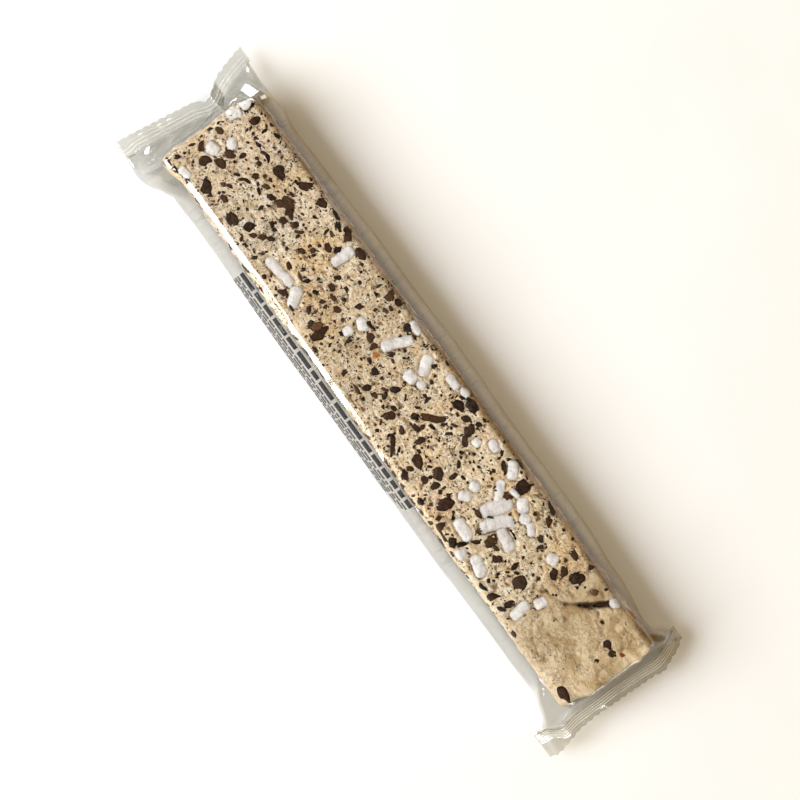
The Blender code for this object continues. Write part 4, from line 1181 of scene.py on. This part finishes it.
def end_of_sleeve(side):
    """Rows from the middle stretch out to the cut edge, settled."""
    crimp, ribs = (
        crimp_rows(LEFT_CUT, LEFT_LINE, -1, 40, 4.9, 1.2, 1.10, 3.0)
        if side < 0
        else crimp_rows(RIGHT_CUT, RIGHT_LINE, 1, 40, 4.4, 3.6, 0.66, 40.0)
    )
    bar_end = X_LEFT if side < 0 else X_RIGHT
    begin = side * 82.0
    steps = 30
    xs = begin + (bar_end - begin) * np.arange(steps + 1) / steps
    held = np.array([sleeve_row(x) for x in xs])
    slope = 24
    border = crimp[0]
    corner = held[-1]
    reach = np.linalg.norm(border - corner, axis=1)
    # The welded line is straight in the cloth, so each thread from the bar's end
    # to it is nearly as long as the longest; a little of that is given away.
    length = np.maximum(reach * 1.015, np.minimum(reach.max(), 10.9) * (0.88 if side < 0 else 0.60))
    guess = np.array([corner + (border - corner) * (i / slope) for i in range(1, slope + 1)])
    X = np.concatenate([held, guess])
    rest_a = np.zeros(X.shape[:2])
    rest_a[:steps] = np.linalg.norm(np.diff(held, axis=0), axis=-1)
    rest_a[steps:] = length / slope
    rest_a[-1] = rest_a[-2]
    each = np.linalg.norm(np.roll(held[0], -1, 0) - held[0], axis=-1)
    last = np.linalg.norm(np.roll(border, -1, 0) - border, axis=-1)
    t = np.linspace(0, 1, len(X))[:, None]
    rest_c = each + (np.maximum(last, GIRTH / COLUMNS * 0.97) - each) * smooth((t - 0.5) / 0.5)
    X = settle(X, rest_a, rest_c, ROUNDS, 0.0005, 520 + side)
    # Over the bar the settled folds come in slowly.
    share = smooth((np.arange(steps + 1) / steps - 0.05) / 0.65)[:, None, None]
    X[: steps + 1] = held * (1 - share) + X[: steps + 1] * share
    # Pulled straight from the bar's end to the weld, but for the ears.
    part = np.arange(1, slope)[:, None, None] / slope
    straight = X[steps] * (1 - part) + border * part
    taut = (0.25 if side < 0 else 0.85) * (1 - smooth((np.abs(border[:, 1]) - 15.0) / 5.0))[:, None]
    X[steps + 1 : -1] += (straight - X[steps + 1 : -1]) * taut
    if side < 0:
        # A fold of film that stands up over the bar's far corner.
        half = COLUMNS // 2
        x, y, z = (X[:, :half, i] for i in range(3))
        flat = X[:, :half].reshape(-1, 3) * (1, 1, 0)
        rough = noise(flat, 2.8, 641).reshape(x.shape)
        run = (x + 98.8) * 0.94 + (y - 15.4) * 0.34 + 0.20 * rough
        cross = (y - 15.4) * 0.94 - (x + 98.8) * 0.34 + 0.16 * rough
        lip = smooth((run + 4.8) / 1.2) * (1 - smooth((run - 4.0) / 1.6))
        lip = lip * smooth((cross + 2.3) / 0.9) * (1 - smooth((cross - 1.9) / 0.9))
        rise = 17.55 + 0.34 * (cross + 1.8) - 0.30 * np.maximum(0.0, -98.4 - x) - z
        X[:-1, :half, 2] += (lip * np.maximum(rise, 0.0))[:-1]
    return X, crimp[1:], ribs[1:]


def sleeve():
    left, left_crimp, left_ribs = end_of_sleeve(-1)
    right, right_crimp, right_ribs = end_of_sleeve(1)
    xs = np.linspace(-82.0, 82.0, 118)[1:-1]
    mid = np.array([sleeve_row(x) for x in xs])
    flat = mid.reshape(-1, 3)
    n = row_normals(mid)
    side = 1 - smooth((np.abs(n[..., 2]) - 0.55) / 0.4)
    over = smooth(n[..., 2] / 0.5)
    fade = smooth((84.0 - np.abs(mid[..., 0])) / 10.0)
    swell = (
        layered(flat * (0.55, 1.0, 1.0), 8.0, 601, 2) * 0.26
        + noise(flat * (0.22, 1.0, 1.0), 3.1, 611) * 0.10
    ).reshape(side.shape)
    ripple = (noise(flat * (0.6, 1.0, 1.0), 6.0, 621) * 0.05).reshape(side.shape)
    mid = mid + n * (side * swell + over * (1 - side) * ripple)[..., None] * fade[..., None]
    rows = np.concatenate([left_crimp[::-1], left[::-1], mid, right, right_crimp])
    crimp, rib = np.zeros(rows.shape[:2]), np.full(rows.shape[:2], 0.5)
    crimp[: len(left_crimp) + 1] = 1
    crimp[-len(right_crimp) - 1 :] = 1
    rib[: len(left_crimp)] = left_ribs[::-1]
    rib[-len(right_crimp) :] = right_ribs
    return rows, crimp, rib


def film_object(rows, crimp, rib):
    R, C, _ = rows.shape
    index = np.arange(R * C).reshape(R, C)
    nxt = np.roll(index, -1, 1)
    quads = np.stack([index[:-1], index[1:], nxt[1:], nxt[:-1]], -1).reshape(-1, 4)
    under = np.tile(np.arange(C) >= C // 2, (R, 1)).astype(float)
    x, y = rows[:, :, 0], rows[:, :, 1]
    under = under * (1.0 - 0.75 * smooth((x - 87.0) / 5.0) * smooth((-14.0 - y) / 2.0))
    loose = smooth((np.abs(x) - 86.0) / 8.0)
    # Where the film is painted with the bar's shadow: its rear band.
    shade = smooth((y - 15.6) / 1.0) * (1 - smooth((-94.0 - x) / 6.0)) * (1 - 0.6 * smooth((x - 98.0) / 4.0))
    marks = {
        "crimp": crimp.ravel(), "rib": rib.ravel(), "under": under.ravel(), "loose": loose.ravel(),
        "shade": shade.ravel(), "right": (x > 0).astype(float).ravel(),
        "out": smooth((y - 16.4) / 3.2).ravel(),
    }
    return mesh_object("clear_film", rows.reshape(-1, 3), quads, attributes=marks)


def fin_seal(rows):
    """The long seam under the bar: two plies folded flat against the film."""
    n = row_normals(rows)
    a, b = 187, 210  # columns, under the middle
    part, up = rows[:, a : b + 1], n[:, a : b + 1]
    t = np.linspace(0, 1, b - a + 1)[None, :, None]
    wave = 0.018 * np.sin(np.arange(b - a + 1) * math.pi / 2)[None, :, None]
    keep = np.flatnonzero((np.abs(rows[:, 198, 2]) < 1.2) & (np.abs(rows[:, 198, 0]) < 96.0))
    keep = slice(int(keep[0]), int(keep[-1]) + 1)
    plies = []
    for lift in (0.05, 0.09):
        plies.append((part + up * (lift + 0.03 * t + wave * (t < 0.96)))[keep])
    top, low = plies
    R, C, _ = top.shape
    index = np.arange(2 * R * C).reshape(2, R, C)
    one, two = index
    groups = [
        np.stack([two[:-1, :-1], two[1:, :-1], two[1:, 1:], two[:-1, 1:]], -1).reshape(-1, 4),
        np.stack([one[:-1, :-1], one[:-1, 1:], one[1:, 1:], one[1:, :-1]], -1).reshape(-1, 4),
    ]
    for line, flip in ((0, False), (C - 1, True)):
        q = np.stack([one[:-1, line], one[1:, line], two[1:, line], two[:-1, line]], -1)
        groups.append(q[:, ::-1] if flip else q)
    for row, flip in ((0, True), (R - 1, False)):
        q = np.stack([one[row, :-1], one[row, 1:], two[row, 1:], two[row, :-1]], -1)
        groups.append(q[:, ::-1] if flip else q)
    return mesh_object("seam_fin", np.concatenate([top.reshape(-1, 3), low.reshape(-1, 3)]), groups)


def print_marks(rows):
    """Plain dashes on the front of the sleeve, where a pack has its print."""
    rng = np.random.default_rng(77)
    n = row_normals(rows)
    mid = [i for i in range(len(rows)) if abs(rows[i, 66, 0]) < 81 and abs(n[i, 66, 2]) > 0.9]
    xs = rows[mid, 0, 0]
    order = np.argsort(xs)
    mid, xs = np.array(mid)[order], xs[order]
    heap = Heap("bold")

    def on_film(x, y):
        i = int(np.clip(np.searchsorted(xs, x), 1, len(xs) - 1))
        t = (x - xs[i - 1]) / (xs[i] - xs[i - 1])
        spots = []
        for row in (mid[i - 1], mid[i]):
            line = rows[row, :60]
            k = np.interp(y, line[:, 1], np.arange(60))
            j = int(min(58, k))
            f = k - j
            spots.append((line[j] * (1 - f) + line[j + 1] * f, n[row, j] * (1 - f) + n[row, j + 1] * f))
        p = spots[0][0] * (1 - t) + spots[1][0] * t
        m = spots[0][1] * (1 - t) + spots[1][1] * t
        return p, m / np.linalg.norm(m)

    def dash(x0, x1, y0, y1, bold):
        steps = max(2, int((x1 - x0) / 0.8) + 1)
        verts, faces = [], []
        for i in range(steps + 1):
            x = x0 + (x1 - x0) * i / steps
            for y in (y0, y1):
                p, m = on_film(x, y)
                verts += [p + m * 0.03, p + m * 0.055]
        for i in range(steps):
            a, b = 4 * i, 4 * (i + 1)
            faces += [
                (a + 1, b + 1, b + 3, a + 3), (a, a + 2, b + 2, b),
                (a, b, b + 1, a + 1), (a + 2, a + 3, b + 3, b + 2),
            ]
        e = 4 * steps
        faces += [(0, 1, 3, 2), (e, e + 2, e + 3, e + 1)]
        heap.add(verts, faces, bold=bold)

    for y, tall, short, long, gap, start, stop, bold in (
        (-17.85, 1.25, 2.4, 7.0, 0.9, -58.5, 26.7, 1.0),
        (-19.30, 0.50, 1.2, 4.0, 0.5, -58.5, 25.5, 0.0),
        (-19.98, 0.40, 1.2, 4.0, 0.5, -58.5, 25.0, 0.0),
        (-20.54, 0.32, 1.2, 4.0, 0.5, -58.5, 22.5, 0.0),
        (-21.00, 0.24, 1.2, 4.0, 0.5, -58.5, 18.0, 0.0),
    ):
        x = start
        while x < stop:
            length = min(rng.uniform(short, long), stop - x)
            if length < 0.6 * short:
                break
            dash(x, x + length, y - tall / 2, y + tall / 2, bold)
            x += length + gap * rng.uniform(0.8, 1.3)
    return heap.make("print_marks")


# =============================================================== materials ====
def linear(r, g, b):
    def one(c):
        c /= 255
        return c / 12.92 if c <= 0.04045 else ((c + 0.055) / 1.055) ** 2.4

    return (one(r), one(g), one(b), 1.0)


class Nodes:
    def __init__(self, name):
        self.material = bpy.data.materials.new(name)
        self.material.use_nodes = True
        self.tree = self.material.node_tree
        self.tree.nodes.clear()
        self.out = self.new("ShaderNodeOutputMaterial")

    def new(self, kind, **inputs):
        node = self.tree.nodes.new(kind)
        for key, value in inputs.items():
            self.set(node, key, value)
        return node

    def set(self, node, key, value):
        key = key.replace("_", " ")
        socket = node.inputs[int(key)] if key.isdigit() else node.inputs[key]
        if hasattr(value, "is_output") or isinstance(value, bpy.types.NodeSocket):
            self.tree.links.new(value, socket)
        else:
            socket.default_value = value

    def coords(self):
        return self.new("ShaderNodeTexCoord").outputs["Object"]

    def stretch(self, vector, scale):
        node = self.new("ShaderNodeMapping")
        node.inputs["Scale"].default_value = scale
        self.tree.links.new(vector, node.inputs["Vector"])
        return node.outputs[0]

    def noise(self, vector, size, detail=2.0, rough=0.5, warp=0.0):
        """size is the wavelength in millimetres."""
        node = self.new(
            "ShaderNodeTexNoise", Scale=1000.0 / size, Detail=detail, Roughness=rough, Distortion=warp
        )
        self.tree.links.new(vector, node.inputs["Vector"])
        return node.outputs["Fac"]

    def cells(self, vector, size, feature="F1"):
        node = self.new("ShaderNodeTexVoronoi", Scale=1000.0 / size)
        node.feature = feature
        self.tree.links.new(vector, node.inputs["Vector"])
        return node.outputs["Distance"], node.outputs["Color"] if feature == "F1" else None

    def attribute(self, name):
        node = self.new("ShaderNodeAttribute")
        node.attribute_name = name
        return node.outputs["Fac"]

    def span(self, value, low, high, a=0.0, b=1.0, soft=True):
        node = self.new("ShaderNodeMapRange")
        node.interpolation_type = "SMOOTHSTEP" if soft else "LINEAR"
        node.clamp = True
        for key, v in (("From Min", low), ("From Max", high), ("To Min", a), ("To Max", b)):
            node.inputs[key].default_value = v
        self.tree.links.new(value, node.inputs["Value"])
        return node.outputs[0]

    def math(self, op, a, b=0.5):
        node = self.new("ShaderNodeMath")
        node.operation = op
        for socket, value in zip(node.inputs, (a, b)):
            if isinstance(value, bpy.types.NodeSocket):
                self.tree.links.new(value, socket)
            else:
                socket.default_value = value
        return node.outputs[0]

    def mix(self, fac, a, b, blend="MIX"):
        node = self.new("ShaderNodeMix")
        node.data_type = "RGBA"
        node.blend_type = blend
        for socket, value in zip((node.inputs[0], node.inputs[6], node.inputs[7]), (fac, a, b)):
            if isinstance(value, bpy.types.NodeSocket):
                self.tree.links.new(value, socket)
            else:
                socket.default_value = value
        return node.outputs[2]

    def bump(self, height, distance, strength=1.0, normal=None):
        """distance in millimetres."""
        node = self.new("ShaderNodeBump", Strength=strength, Distance=distance * MM)
        self.tree.links.new(height, node.inputs["Height"])
        if normal is not None:
            self.tree.links.new(normal, node.inputs["Normal"])
        return node.outputs[0]

    def principled(self, **inputs):
        node = self.new("ShaderNodeBsdfPrincipled", **inputs)
        self.tree.links.new(node.outputs[0], self.out.inputs["Surface"])
        return node


def nougat_material():
    m = Nodes("soft_nougat")
    at = m.coords()
    cream, mid, tan = linear(255, 251, 241), linear(248, 229, 202), linear(228, 202, 165)
    crumb, relief_light = m.attribute("crumb"), m.attribute("cavity")
    # One crumb height drives both the colour and the bump: the cream where it stands high and the darker tan where
    # it lies low are partly the crumb's own flecks and partly painted highlight and shade.
    fleck = m.noise(m.stretch(at, (1.0, 0.85, 1.0)), 0.80, 4.0, 0.62, 0.6)
    fibre = m.noise(m.stretch(at, (0.62, 1.0, 1.0)), 1.7, 4.0, 0.64, 2.0)
    grain = m.math("ADD", m.math("MULTIPLY", fleck, 0.55), m.math("MULTIPLY", fibre, 0.45))
    patch = m.span(m.noise(at, 2.2, 3.0, 0.62, 0.7), 0.38, 0.60)
    colour = m.mix(patch, tan, mid)
    broad = m.span(m.noise(at, 4.5, 2.0, 0.6), 0.34, 0.58, 0.35, 1.0)
    high = m.math("MULTIPLY", m.span(grain, 0.50, 0.575), m.math("MULTIPLY", broad, crumb))
    colour = m.mix(high, colour, cream)
    low = m.math("MULTIPLY", m.span(grain, 0.40, 0.455, 0.46, 0.0), crumb)
    colour = m.mix(low, colour, linear(166, 128, 90))
    # Broad zones: pinkish, yellow-green and plain.
    zone = m.noise(at, 34.0, 1.0)
    colour = m.mix(
        m.span(zone, 0.50, 0.68, 0.0, 0.22), colour, m.mix(1.0, colour, linear(255, 232, 216), "MULTIPLY")
    )
    other = m.noise(at, 19.0, 2.0)
    colour = m.mix(
        m.span(other, 0.50, 0.66, 0.0, 0.60), colour, m.mix(1.0, colour, linear(250, 233, 198), "MULTIPLY")
    )
    # Broad soft patches, plain where the crumb gives out.
    broad = m.span(m.noise(at, 6.5, 3.0, 0.55, 1.0), 0.36, 0.62)
    quiet = m.span(crumb, 0.25, 1.0, 0.85, 0.0)
    soft = m.mix(broad, linear(200, 173, 131), linear(240, 223, 192))
    colour = m.mix(quiet, colour, soft)
    # Whiter in one stretch; browner down over the far edge: painted shade, as that edge lies away from the light.
    colour = m.mix(m.math("MULTIPLY", m.attribute("pale"), 0.75), colour, m.mix(1.0, colour, linear(242, 251, 255), "MULTIPLY"))
    colour = m.mix(m.attribute("far"), colour, m.mix(1.0, colour, linear(196, 170, 131), "MULTIPLY"))
    colour = m.mix(m.attribute("cool"), colour, m.mix(1.0, colour, linear(242, 246, 251), "MULTIPLY"))
    colour = m.mix(m.attribute("dim"), colour, m.mix(1.0, colour, linear(232, 230, 225), "MULTIPLY"))
    # Wrinkles: thin brown lines where a noise crosses its middle, painted shade in creases that the bump also
    # presses in.
    line = m.math("ABSOLUTE", m.math("SUBTRACT", m.noise(at, 2.3, 4.0, 0.62, 1.2), 0.5))
    where = m.span(m.noise(at, 5.0, 2.0), 0.42, 0.58)
    line = m.math("MULTIPLY", m.span(line, 0.003, 0.026, 1.0, 0.0), where)
    fade = m.span(crumb, 0.10, 0.60, 0.22, 0.58)
    colour = m.mix(m.math("MULTIPLY", line, fade), colour, linear(128, 92, 56))
    # Painted shade: deeper tan in the pits, the crack and between the folds; painted highlight: paler cream on the
    # raised crumb.
    colour = m.mix(m.span(relief_light, -0.45, -0.10, 0.75, 0.0), colour, linear(118, 84, 52))
    colour = m.mix(m.span(relief_light, 0.06, 0.24, 0.0, 0.55), colour, linear(252, 243, 226))
    # Fine brown dust just under the surface.
    dust, _ = m.cells(at, 1.1)
    dust_on = m.math("MULTIPLY", m.span(m.noise(at, 6.0, 1.0), 0.40, 0.60), crumb)
    dust = m.math("MULTIPLY", m.span(dust, 0.10, 0.19, 1.0, 0.0), dust_on)
    colour = m.mix(m.math("MULTIPLY", dust, 0.70), colour, linear(98, 58, 36))
    height = m.math("SUBTRACT", grain, m.math("MULTIPLY", line, 0.16))
    normal = m.bump(m.noise(at, 0.30, 3.0, 0.6), 0.08, 0.8, m.bump(height, 0.75, 1.0))
    rough = m.span(m.noise(at, 2.4, 2.0), 0.3, 0.7, 0.40, 0.60)
    shader = m.principled(Base_Color=colour, Roughness=rough, Normal=normal)
    shader.inputs["Subsurface Weight"].default_value = 0.12
    shader.inputs["Subsurface Radius"].default_value = (1.0, 0.62, 0.32)
    shader.inputs["Subsurface Scale"].default_value = 0.0006
    shader.inputs["Specular IOR Level"].default_value = 0.35
    return m.material


def chocolate_material():
    m = Nodes("dark_chocolate")
    at = m.coords()
    tone, red, rim = (m.attribute(k) for k in ("tone", "red", "rim"))
    colour = m.mix(m.span(tone, 0.0, 0.40), linear(17, 9, 6), linear(54, 35, 22))
    colour = m.mix(m.span(tone, 0.42, 0.95), colour, linear(104, 76, 48))
    colour = m.mix(m.math("MULTIPLY", red, 0.8), colour, linear(88, 40, 24))
    # Warm brown in patches and dark edges; the paler, greyer middles of the faces are a painted sheen of reflected
    # light.
    inside = m.span(rim, 0.05, 0.8, 1.0, 0.0)
    warm = m.math("MULTIPLY", m.span(m.noise(at, 1.3, 3.0, 0.6), 0.46, 0.62), inside)
    colour = m.mix(m.math("MULTIPLY", warm, 0.40), colour, linear(92, 58, 34))
    painted_sheen = m.math("MULTIPLY", m.span(m.noise(at, 0.8, 3.0, 0.6), 0.50, 0.68), inside)
    colour = m.mix(m.math("MULTIPLY", painted_sheen, 0.20), colour, linear(100, 84, 64))
    colour = m.mix(m.span(rim, 0.3, 1.0, 0.0, 0.7), colour, linear(26, 13, 8))
    fine = m.noise(at, 0.35, 4.0, 0.6)
    coarse = m.noise(at, 1.1, 2.0, 0.5)
    normal = m.bump(fine, 0.07, 0.9, m.bump(coarse, 0.30, 0.9))
    rough = m.span(m.noise(at, 0.8, 2.0), 0.3, 0.7, 0.32, 0.58)
    shader = m.principled(Base_Color=colour, Roughness=rough, Normal=normal)
    shader.inputs["Specular IOR Level"].default_value = 0.16
    return m.material


def crumb_material():
    m = Nodes("ground_crumbs")
    at = m.coords()
    tone = m.attribute("tone")
    colour = m.mix(tone, linear(42, 20, 12), linear(100, 58, 36))
    colour = m.mix(m.span(m.noise(at, 0.5, 2.0), 0.4, 0.7, 0.0, 0.4), colour, linear(20, 12, 8))
    normal = m.bump(m.noise(at, 0.2, 2.0), 0.04, 0.8)
    m.principled(Base_Color=colour, Roughness=m.span(m.noise(at, 1.0), 0.3, 0.7, 0.45, 0.7), Normal=normal)
    return m.material


def sugar_material():
    m = Nodes("white_sugar")
    at = m.coords()
    ring, tone = m.attribute("ring"), m.attribute("tone")
    colour = m.mix(m.span(tone, 0.45, 1.0), linear(243, 243, 246), linear(231, 228, 231))
    colour = m.mix(m.span(m.noise(at, 1.8, 3.0, 0.6), 0.44, 0.66, 0.0, 0.65), colour, linear(206, 203, 210))
    colour = m.mix(m.span(m.noise(at, 0.45, 3.0, 0.6), 0.50, 0.66, 0.0, 0.35), colour, linear(197, 193, 197))
    # Painted shade: lilac grey in the ring grooves, down the rods' sides and at their tips.
    colour = m.mix(m.math("MULTIPLY", ring, 0.70), colour, linear(174, 168, 172))
    normal = m.bump(m.noise(at, 0.4, 4.0, 0.6), 0.12, 0.8, m.bump(m.noise(at, 1.3, 3.0), 0.40, 0.8))
    rough = m.span(m.noise(at, 1.0, 2.0), 0.3, 0.7, 0.5, 0.68)
    shader = m.principled(Base_Color=colour, Roughness=rough, Normal=normal)
    shader.inputs["Subsurface Weight"].default_value = 0.25
    shader.inputs["Subsurface Radius"].default_value = (1.0, 0.9, 0.85)
    shader.inputs["Subsurface Scale"].default_value = 0.0010
    return m.material


def amber_material():
    m = Nodes("candied_fruit")
    at = m.coords()
    colour = m.mix(m.span(m.noise(at, 0.9, 3.0), 0.35, 0.65), linear(160, 92, 30), linear(204, 138, 60))
    colour = m.mix(m.math("MULTIPLY", m.attribute("tone"), 0.8), colour, linear(120, 52, 20))
    normal = m.bump(m.noise(at, 0.5, 3.0), 0.10, 0.7)
    shader = m.principled(Base_Color=colour, Roughness=m.span(m.noise(at, 0.6), 0.3, 0.7, 0.25, 0.45), Normal=normal)
    shader.inputs["Subsurface Weight"].default_value = 0.2
    shader.inputs["Subsurface Scale"].default_value = 0.001
    return m.material


def film_material(name, tint, haze, welded=True):
    """Clear film: it passes light with a faint tint, mirrors it by its slant,
    and is a little milky where it is creased or welded."""
    m = Nodes(name)
    at = m.coords()
    crease = m.noise(m.stretch(at, (1.0, 1.4, 1.0)), 1.6, 3.0, 0.55, 0.8)
    if welded:
        crease = m.math("MULTIPLY", crease, m.span(m.attribute("loose"), 0.0, 1.0, 0.22, 1.0))
    normal = m.bump(crease, 0.06, 0.5)
    colour = tint
    if welded:
        crimp, rib = m.attribute("crimp"), m.attribute("rib")
        below = m.math("MULTIPLY", m.attribute("under"), m.span(crimp, 0.0, 1.0, 1.0, 0.35))
        # Painted shadow: over the rear band, where the bar's shadow falls, the film is tinted warm brown, darker
        # near the bar, and its lower layer's grey tint is eased outward.
        outer = m.math("MULTIPLY", m.attribute("out"), m.attribute("shade"))
        below = m.math("MULTIPLY", below, m.span(outer, 0.0, 1.0, 0.95, 0.15))
        colour = m.mix(below, tint, m.mix(m.attribute("loose"), linear(206, 207, 205), linear(217, 218, 216)))
        shade = m.mix(1.0, colour, m.mix(outer, linear(244, 232, 204), linear(254, 250, 240)), "MULTIPLY")
        colour = m.mix(m.attribute("shade"), colour, shade)
        # Painted shade in the grooves between the ribs of the welds, stronger on the right.
        groove_shade = m.math("MULTIPLY", crimp, m.span(rib, 0.05, 0.5, 1.0, 0.0))
        deep = m.math("MULTIPLY", groove_shade, m.span(m.attribute("right"), 0.0, 1.0, 0.14, 0.45))
        colour = m.mix(deep, colour, linear(206, 205, 196))
        # Painted shade: the right weld, lying in the bar's shadow, is a little darker.
        weld = m.math("MULTIPLY", crimp, m.attribute("right"))
        colour = m.mix(weld, colour, m.mix(1.0, colour, linear(249, 247, 244), "MULTIPLY"))
    clear = m.new("ShaderNodeBsdfTransparent", Color=colour)
    gloss = m.new("ShaderNodeBsdfGlossy", Color=(1, 1, 1, 1))
    gloss.distribution = "GGX"
    m.set(gloss, "Roughness", m.span(m.noise(at, 3.0, 2.0), 0.3, 0.7, 0.030, 0.065))
    m.set(gloss, "Normal", normal)
    # Both faces of a thin film, and the same from within as from without.
    facing = m.new("ShaderNodeLayerWeight", Blend=0.5)
    m.set(facing, "Normal", normal)
    grazing = m.math("POWER", facing.outputs["Facing"], 4.6)
    share = m.math("MULTIPLY_ADD", grazing, 0.50)
    share.node.inputs[2].default_value = 0.12
    shine = m.new("ShaderNodeMixShader")
    m.set(shine, "0", share)
    m.set(shine, "1", clear.outputs[0])
    m.set(shine, "2", gloss.outputs[0])
    milk = m.new("ShaderNodeBsdfDiffuse", Color=linear(238, 237, 230))
    m.set(milk, "Normal", normal)
    if welded:
        spots = m.span(m.noise(m.stretch(at, (1.0, 0.5, 1.0)), 2.6, 3.0, 0.6), 0.45, 0.75)
        ridge = m.span(rib, 0.55, 0.95)
        amount = m.math("ADD", m.math("MULTIPLY", spots, 0.08), m.math("MULTIPLY", ridge, m.span(m.attribute("right"), 0.0, 1.0, 0.13, 0.55)))
        amount = m.math("MULTIPLY", crimp, m.math("ADD", amount, 0.04))
        amount = m.math("ADD", amount, haze)
    else:
        amount = m.span(m.noise(at, 4.0), 0.3, 0.7, haze, haze + 0.03)
    last = m.new("ShaderNodeMixShader")
    m.set(last, "0", amount)
    m.set(last, "1", shine.outputs[0])
    m.set(last, "2", milk.outputs[0])
    m.tree.links.new(last.outputs[0], m.out.inputs["Surface"])
    return m.material


def print_material():
    m = Nodes("print_ink")
    at = m.coords()
    colour = m.mix(m.attribute("bold"), linear(84, 80, 77), linear(34, 32, 31))
    colour = m.mix(m.span(m.noise(at, 0.4, 2.0), 0.45, 0.7, 0.0, 0.15), colour, linear(140, 136, 130))
    shader = m.principled(Base_Color=colour, Roughness=m.span(m.noise(at, 1.0), 0.3, 0.7, 0.4, 0.55))
    shader.inputs["Specular IOR Level"].default_value = 0.15
    return m.material


def floor_material():
    m = Nodes("pale_floor")
    at = m.coords()
    colour = m.mix(m.span(m.noise(at, 60.0, 3.0), 0.3, 0.7), linear(226, 227, 229), linear(230, 231, 233))
    m.principled(Base_Color=colour, Roughness=m.span(m.noise(at, 2.0, 2.0), 0.3, 0.7, 0.8, 0.9))
    return m.material


# ============================================================ putting it up ===
plan = plan_inclusions()
slab = nougat_bar(plan)
slab.data.materials.append(nougat_material())
bits = inclusions(plan)
bits["chocolate_chips"].data.materials.append(chocolate_material())
bits["coffee_crumbs"].data.materials.append(crumb_material())
bits["sugar_rods"].data.materials.append(sugar_material())
bits["candied_bits"].data.materials.append(amber_material())
film_rows, welded, ribbed = sleeve()
film = film_object(film_rows, welded, ribbed)
film.data.materials.append(film_material("clear_film", linear(247, 247, 245), 0.002))
fin = fin_seal(film_rows)
fin.data.materials.append(film_material("seam_film", linear(248, 247, 243), 0.01, False))
marks = print_marks(film_rows)
marks.data.materials.append(print_material())

SLOTS = {
    slab: "nougat", bits["chocolate_chips"]: "chocolate", bits["coffee_crumbs"]: "chocolate",
    bits["sugar_rods"]: "sugar", bits["candied_bits"]: "candied", film: "film", fin: "film",
    marks: "print",
}
for piece, slot in SLOTS.items():
    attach(piece, "root")
    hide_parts("nougat_pack")

bpy.ops.mesh.primitive_plane_add(size=6.0, location=(0, 0, 0))
floor = bpy.context.object
floor.name = "studio_floor"
floor.data.materials.append(floor_material())

scene = bpy.context.scene
scene.view_settings.view_transform = "Standard"
world = bpy.data.worlds.new("studio")
world.use_nodes = True
sky = world.node_tree
back = sky.nodes["Background"]
spot = sky.nodes.new("ShaderNodeTexCoord")
split = sky.nodes.new("ShaderNodeSeparateXYZ")
sky.links.new(spot.outputs["Generated"], split.inputs[0])
ramp = sky.nodes.new("ShaderNodeMapRange")
ramp.interpolation_type = "SMOOTHSTEP"
for key, value in (("From Min", 0.55), ("From Max", 0.95), ("To Min", 0.62), ("To Max", 0.025)):
    ramp.inputs[key].default_value = value
sky.links.new(split.outputs["Z"], ramp.inputs["Value"])
# Bright behind the window's side, dim on the far side.
turn = sky.nodes.new("ShaderNodeMapRange")
turn.interpolation_type = "SMOOTHSTEP"
for key, value in (("From Min", -0.35), ("From Max", 0.45), ("To Min", 1.0), ("To Max", 0.22)):
    turn.inputs[key].default_value = value
sky.links.new(split.outputs["Y"], turn.inputs["Value"])
both = sky.nodes.new("ShaderNodeMath")
both.operation = "MULTIPLY"
sky.links.new(ramp.outputs[0], both.inputs[0])
sky.links.new(turn.outputs[0], both.inputs[1])
sky.links.new(both.outputs[0], back.inputs["Strength"])
back.inputs["Color"].default_value = (1.0, 0.89, 0.72, 1)
scene.world = world


def area(name, place, aim, width, height, power, colour=(1, 1, 1)):
    data = bpy.data.lights.new(name, "AREA")
    data.shape = "RECTANGLE"
    data.size, data.size_y = width, height
    data.energy = power
    data.color = colour
    lamp = bpy.data.objects.new(name, data)
    lamp.location = place
    lamp.rotation_euler = (Vector(aim) - Vector(place)).to_track_quat("-Z", "Y").to_euler()
    scene.collection.objects.link(lamp)
    return lamp


area("window", (-0.652, -1.05, 0.98), (-0.652, 0.0, 0.0), 1.276, 1.15, 44.0, (0.99, 0.996, 1.0))
fill = area("fill", (0.35, 0.62, 1.25), (0.0, 0.0, 0.0), 0.8, 0.6, 6.6, (1.0, 0.76, 0.44))
fill.visible_glossy = False
area("glint_left", (-0.72, -0.14, 1.08), (-0.10, 0.0, 0.01), 0.16, 0.16, 0.5)
area("glint_right", (1.30, -0.06, 0.20), (0.10, 0.0, 0.01), 0.36, 0.22, 1.2)

RIGHT = Vector((0.5865, 0.8100, 0.0)).normalized()
UP = Vector((-RIGHT.y, RIGHT.x, 0.0))
camera_data = bpy.data.cameras.new("camera")
camera = bpy.data.objects.new("camera", camera_data)
scene.collection.objects.link(camera)
DISTANCE = 1.8
camera_data.sensor_width = 36.0
camera_data.lens = 36.0 * DISTANCE / 0.232
camera_data.clip_start, camera_data.clip_end = 0.05, 20.0
middle = -RIGHT * 0.00267 + UP * 0.000116
camera.matrix_world = Matrix(
    (
        (RIGHT.x, UP.x, 0.0, middle.x),
        (RIGHT.y, UP.y, 0.0, middle.y),
        (0.0, 0.0, 1.0, DISTANCE + TOP_Z * MM),
        (0.0, 0.0, 0.0, 1.0),
    )
)
scene.camera = camera
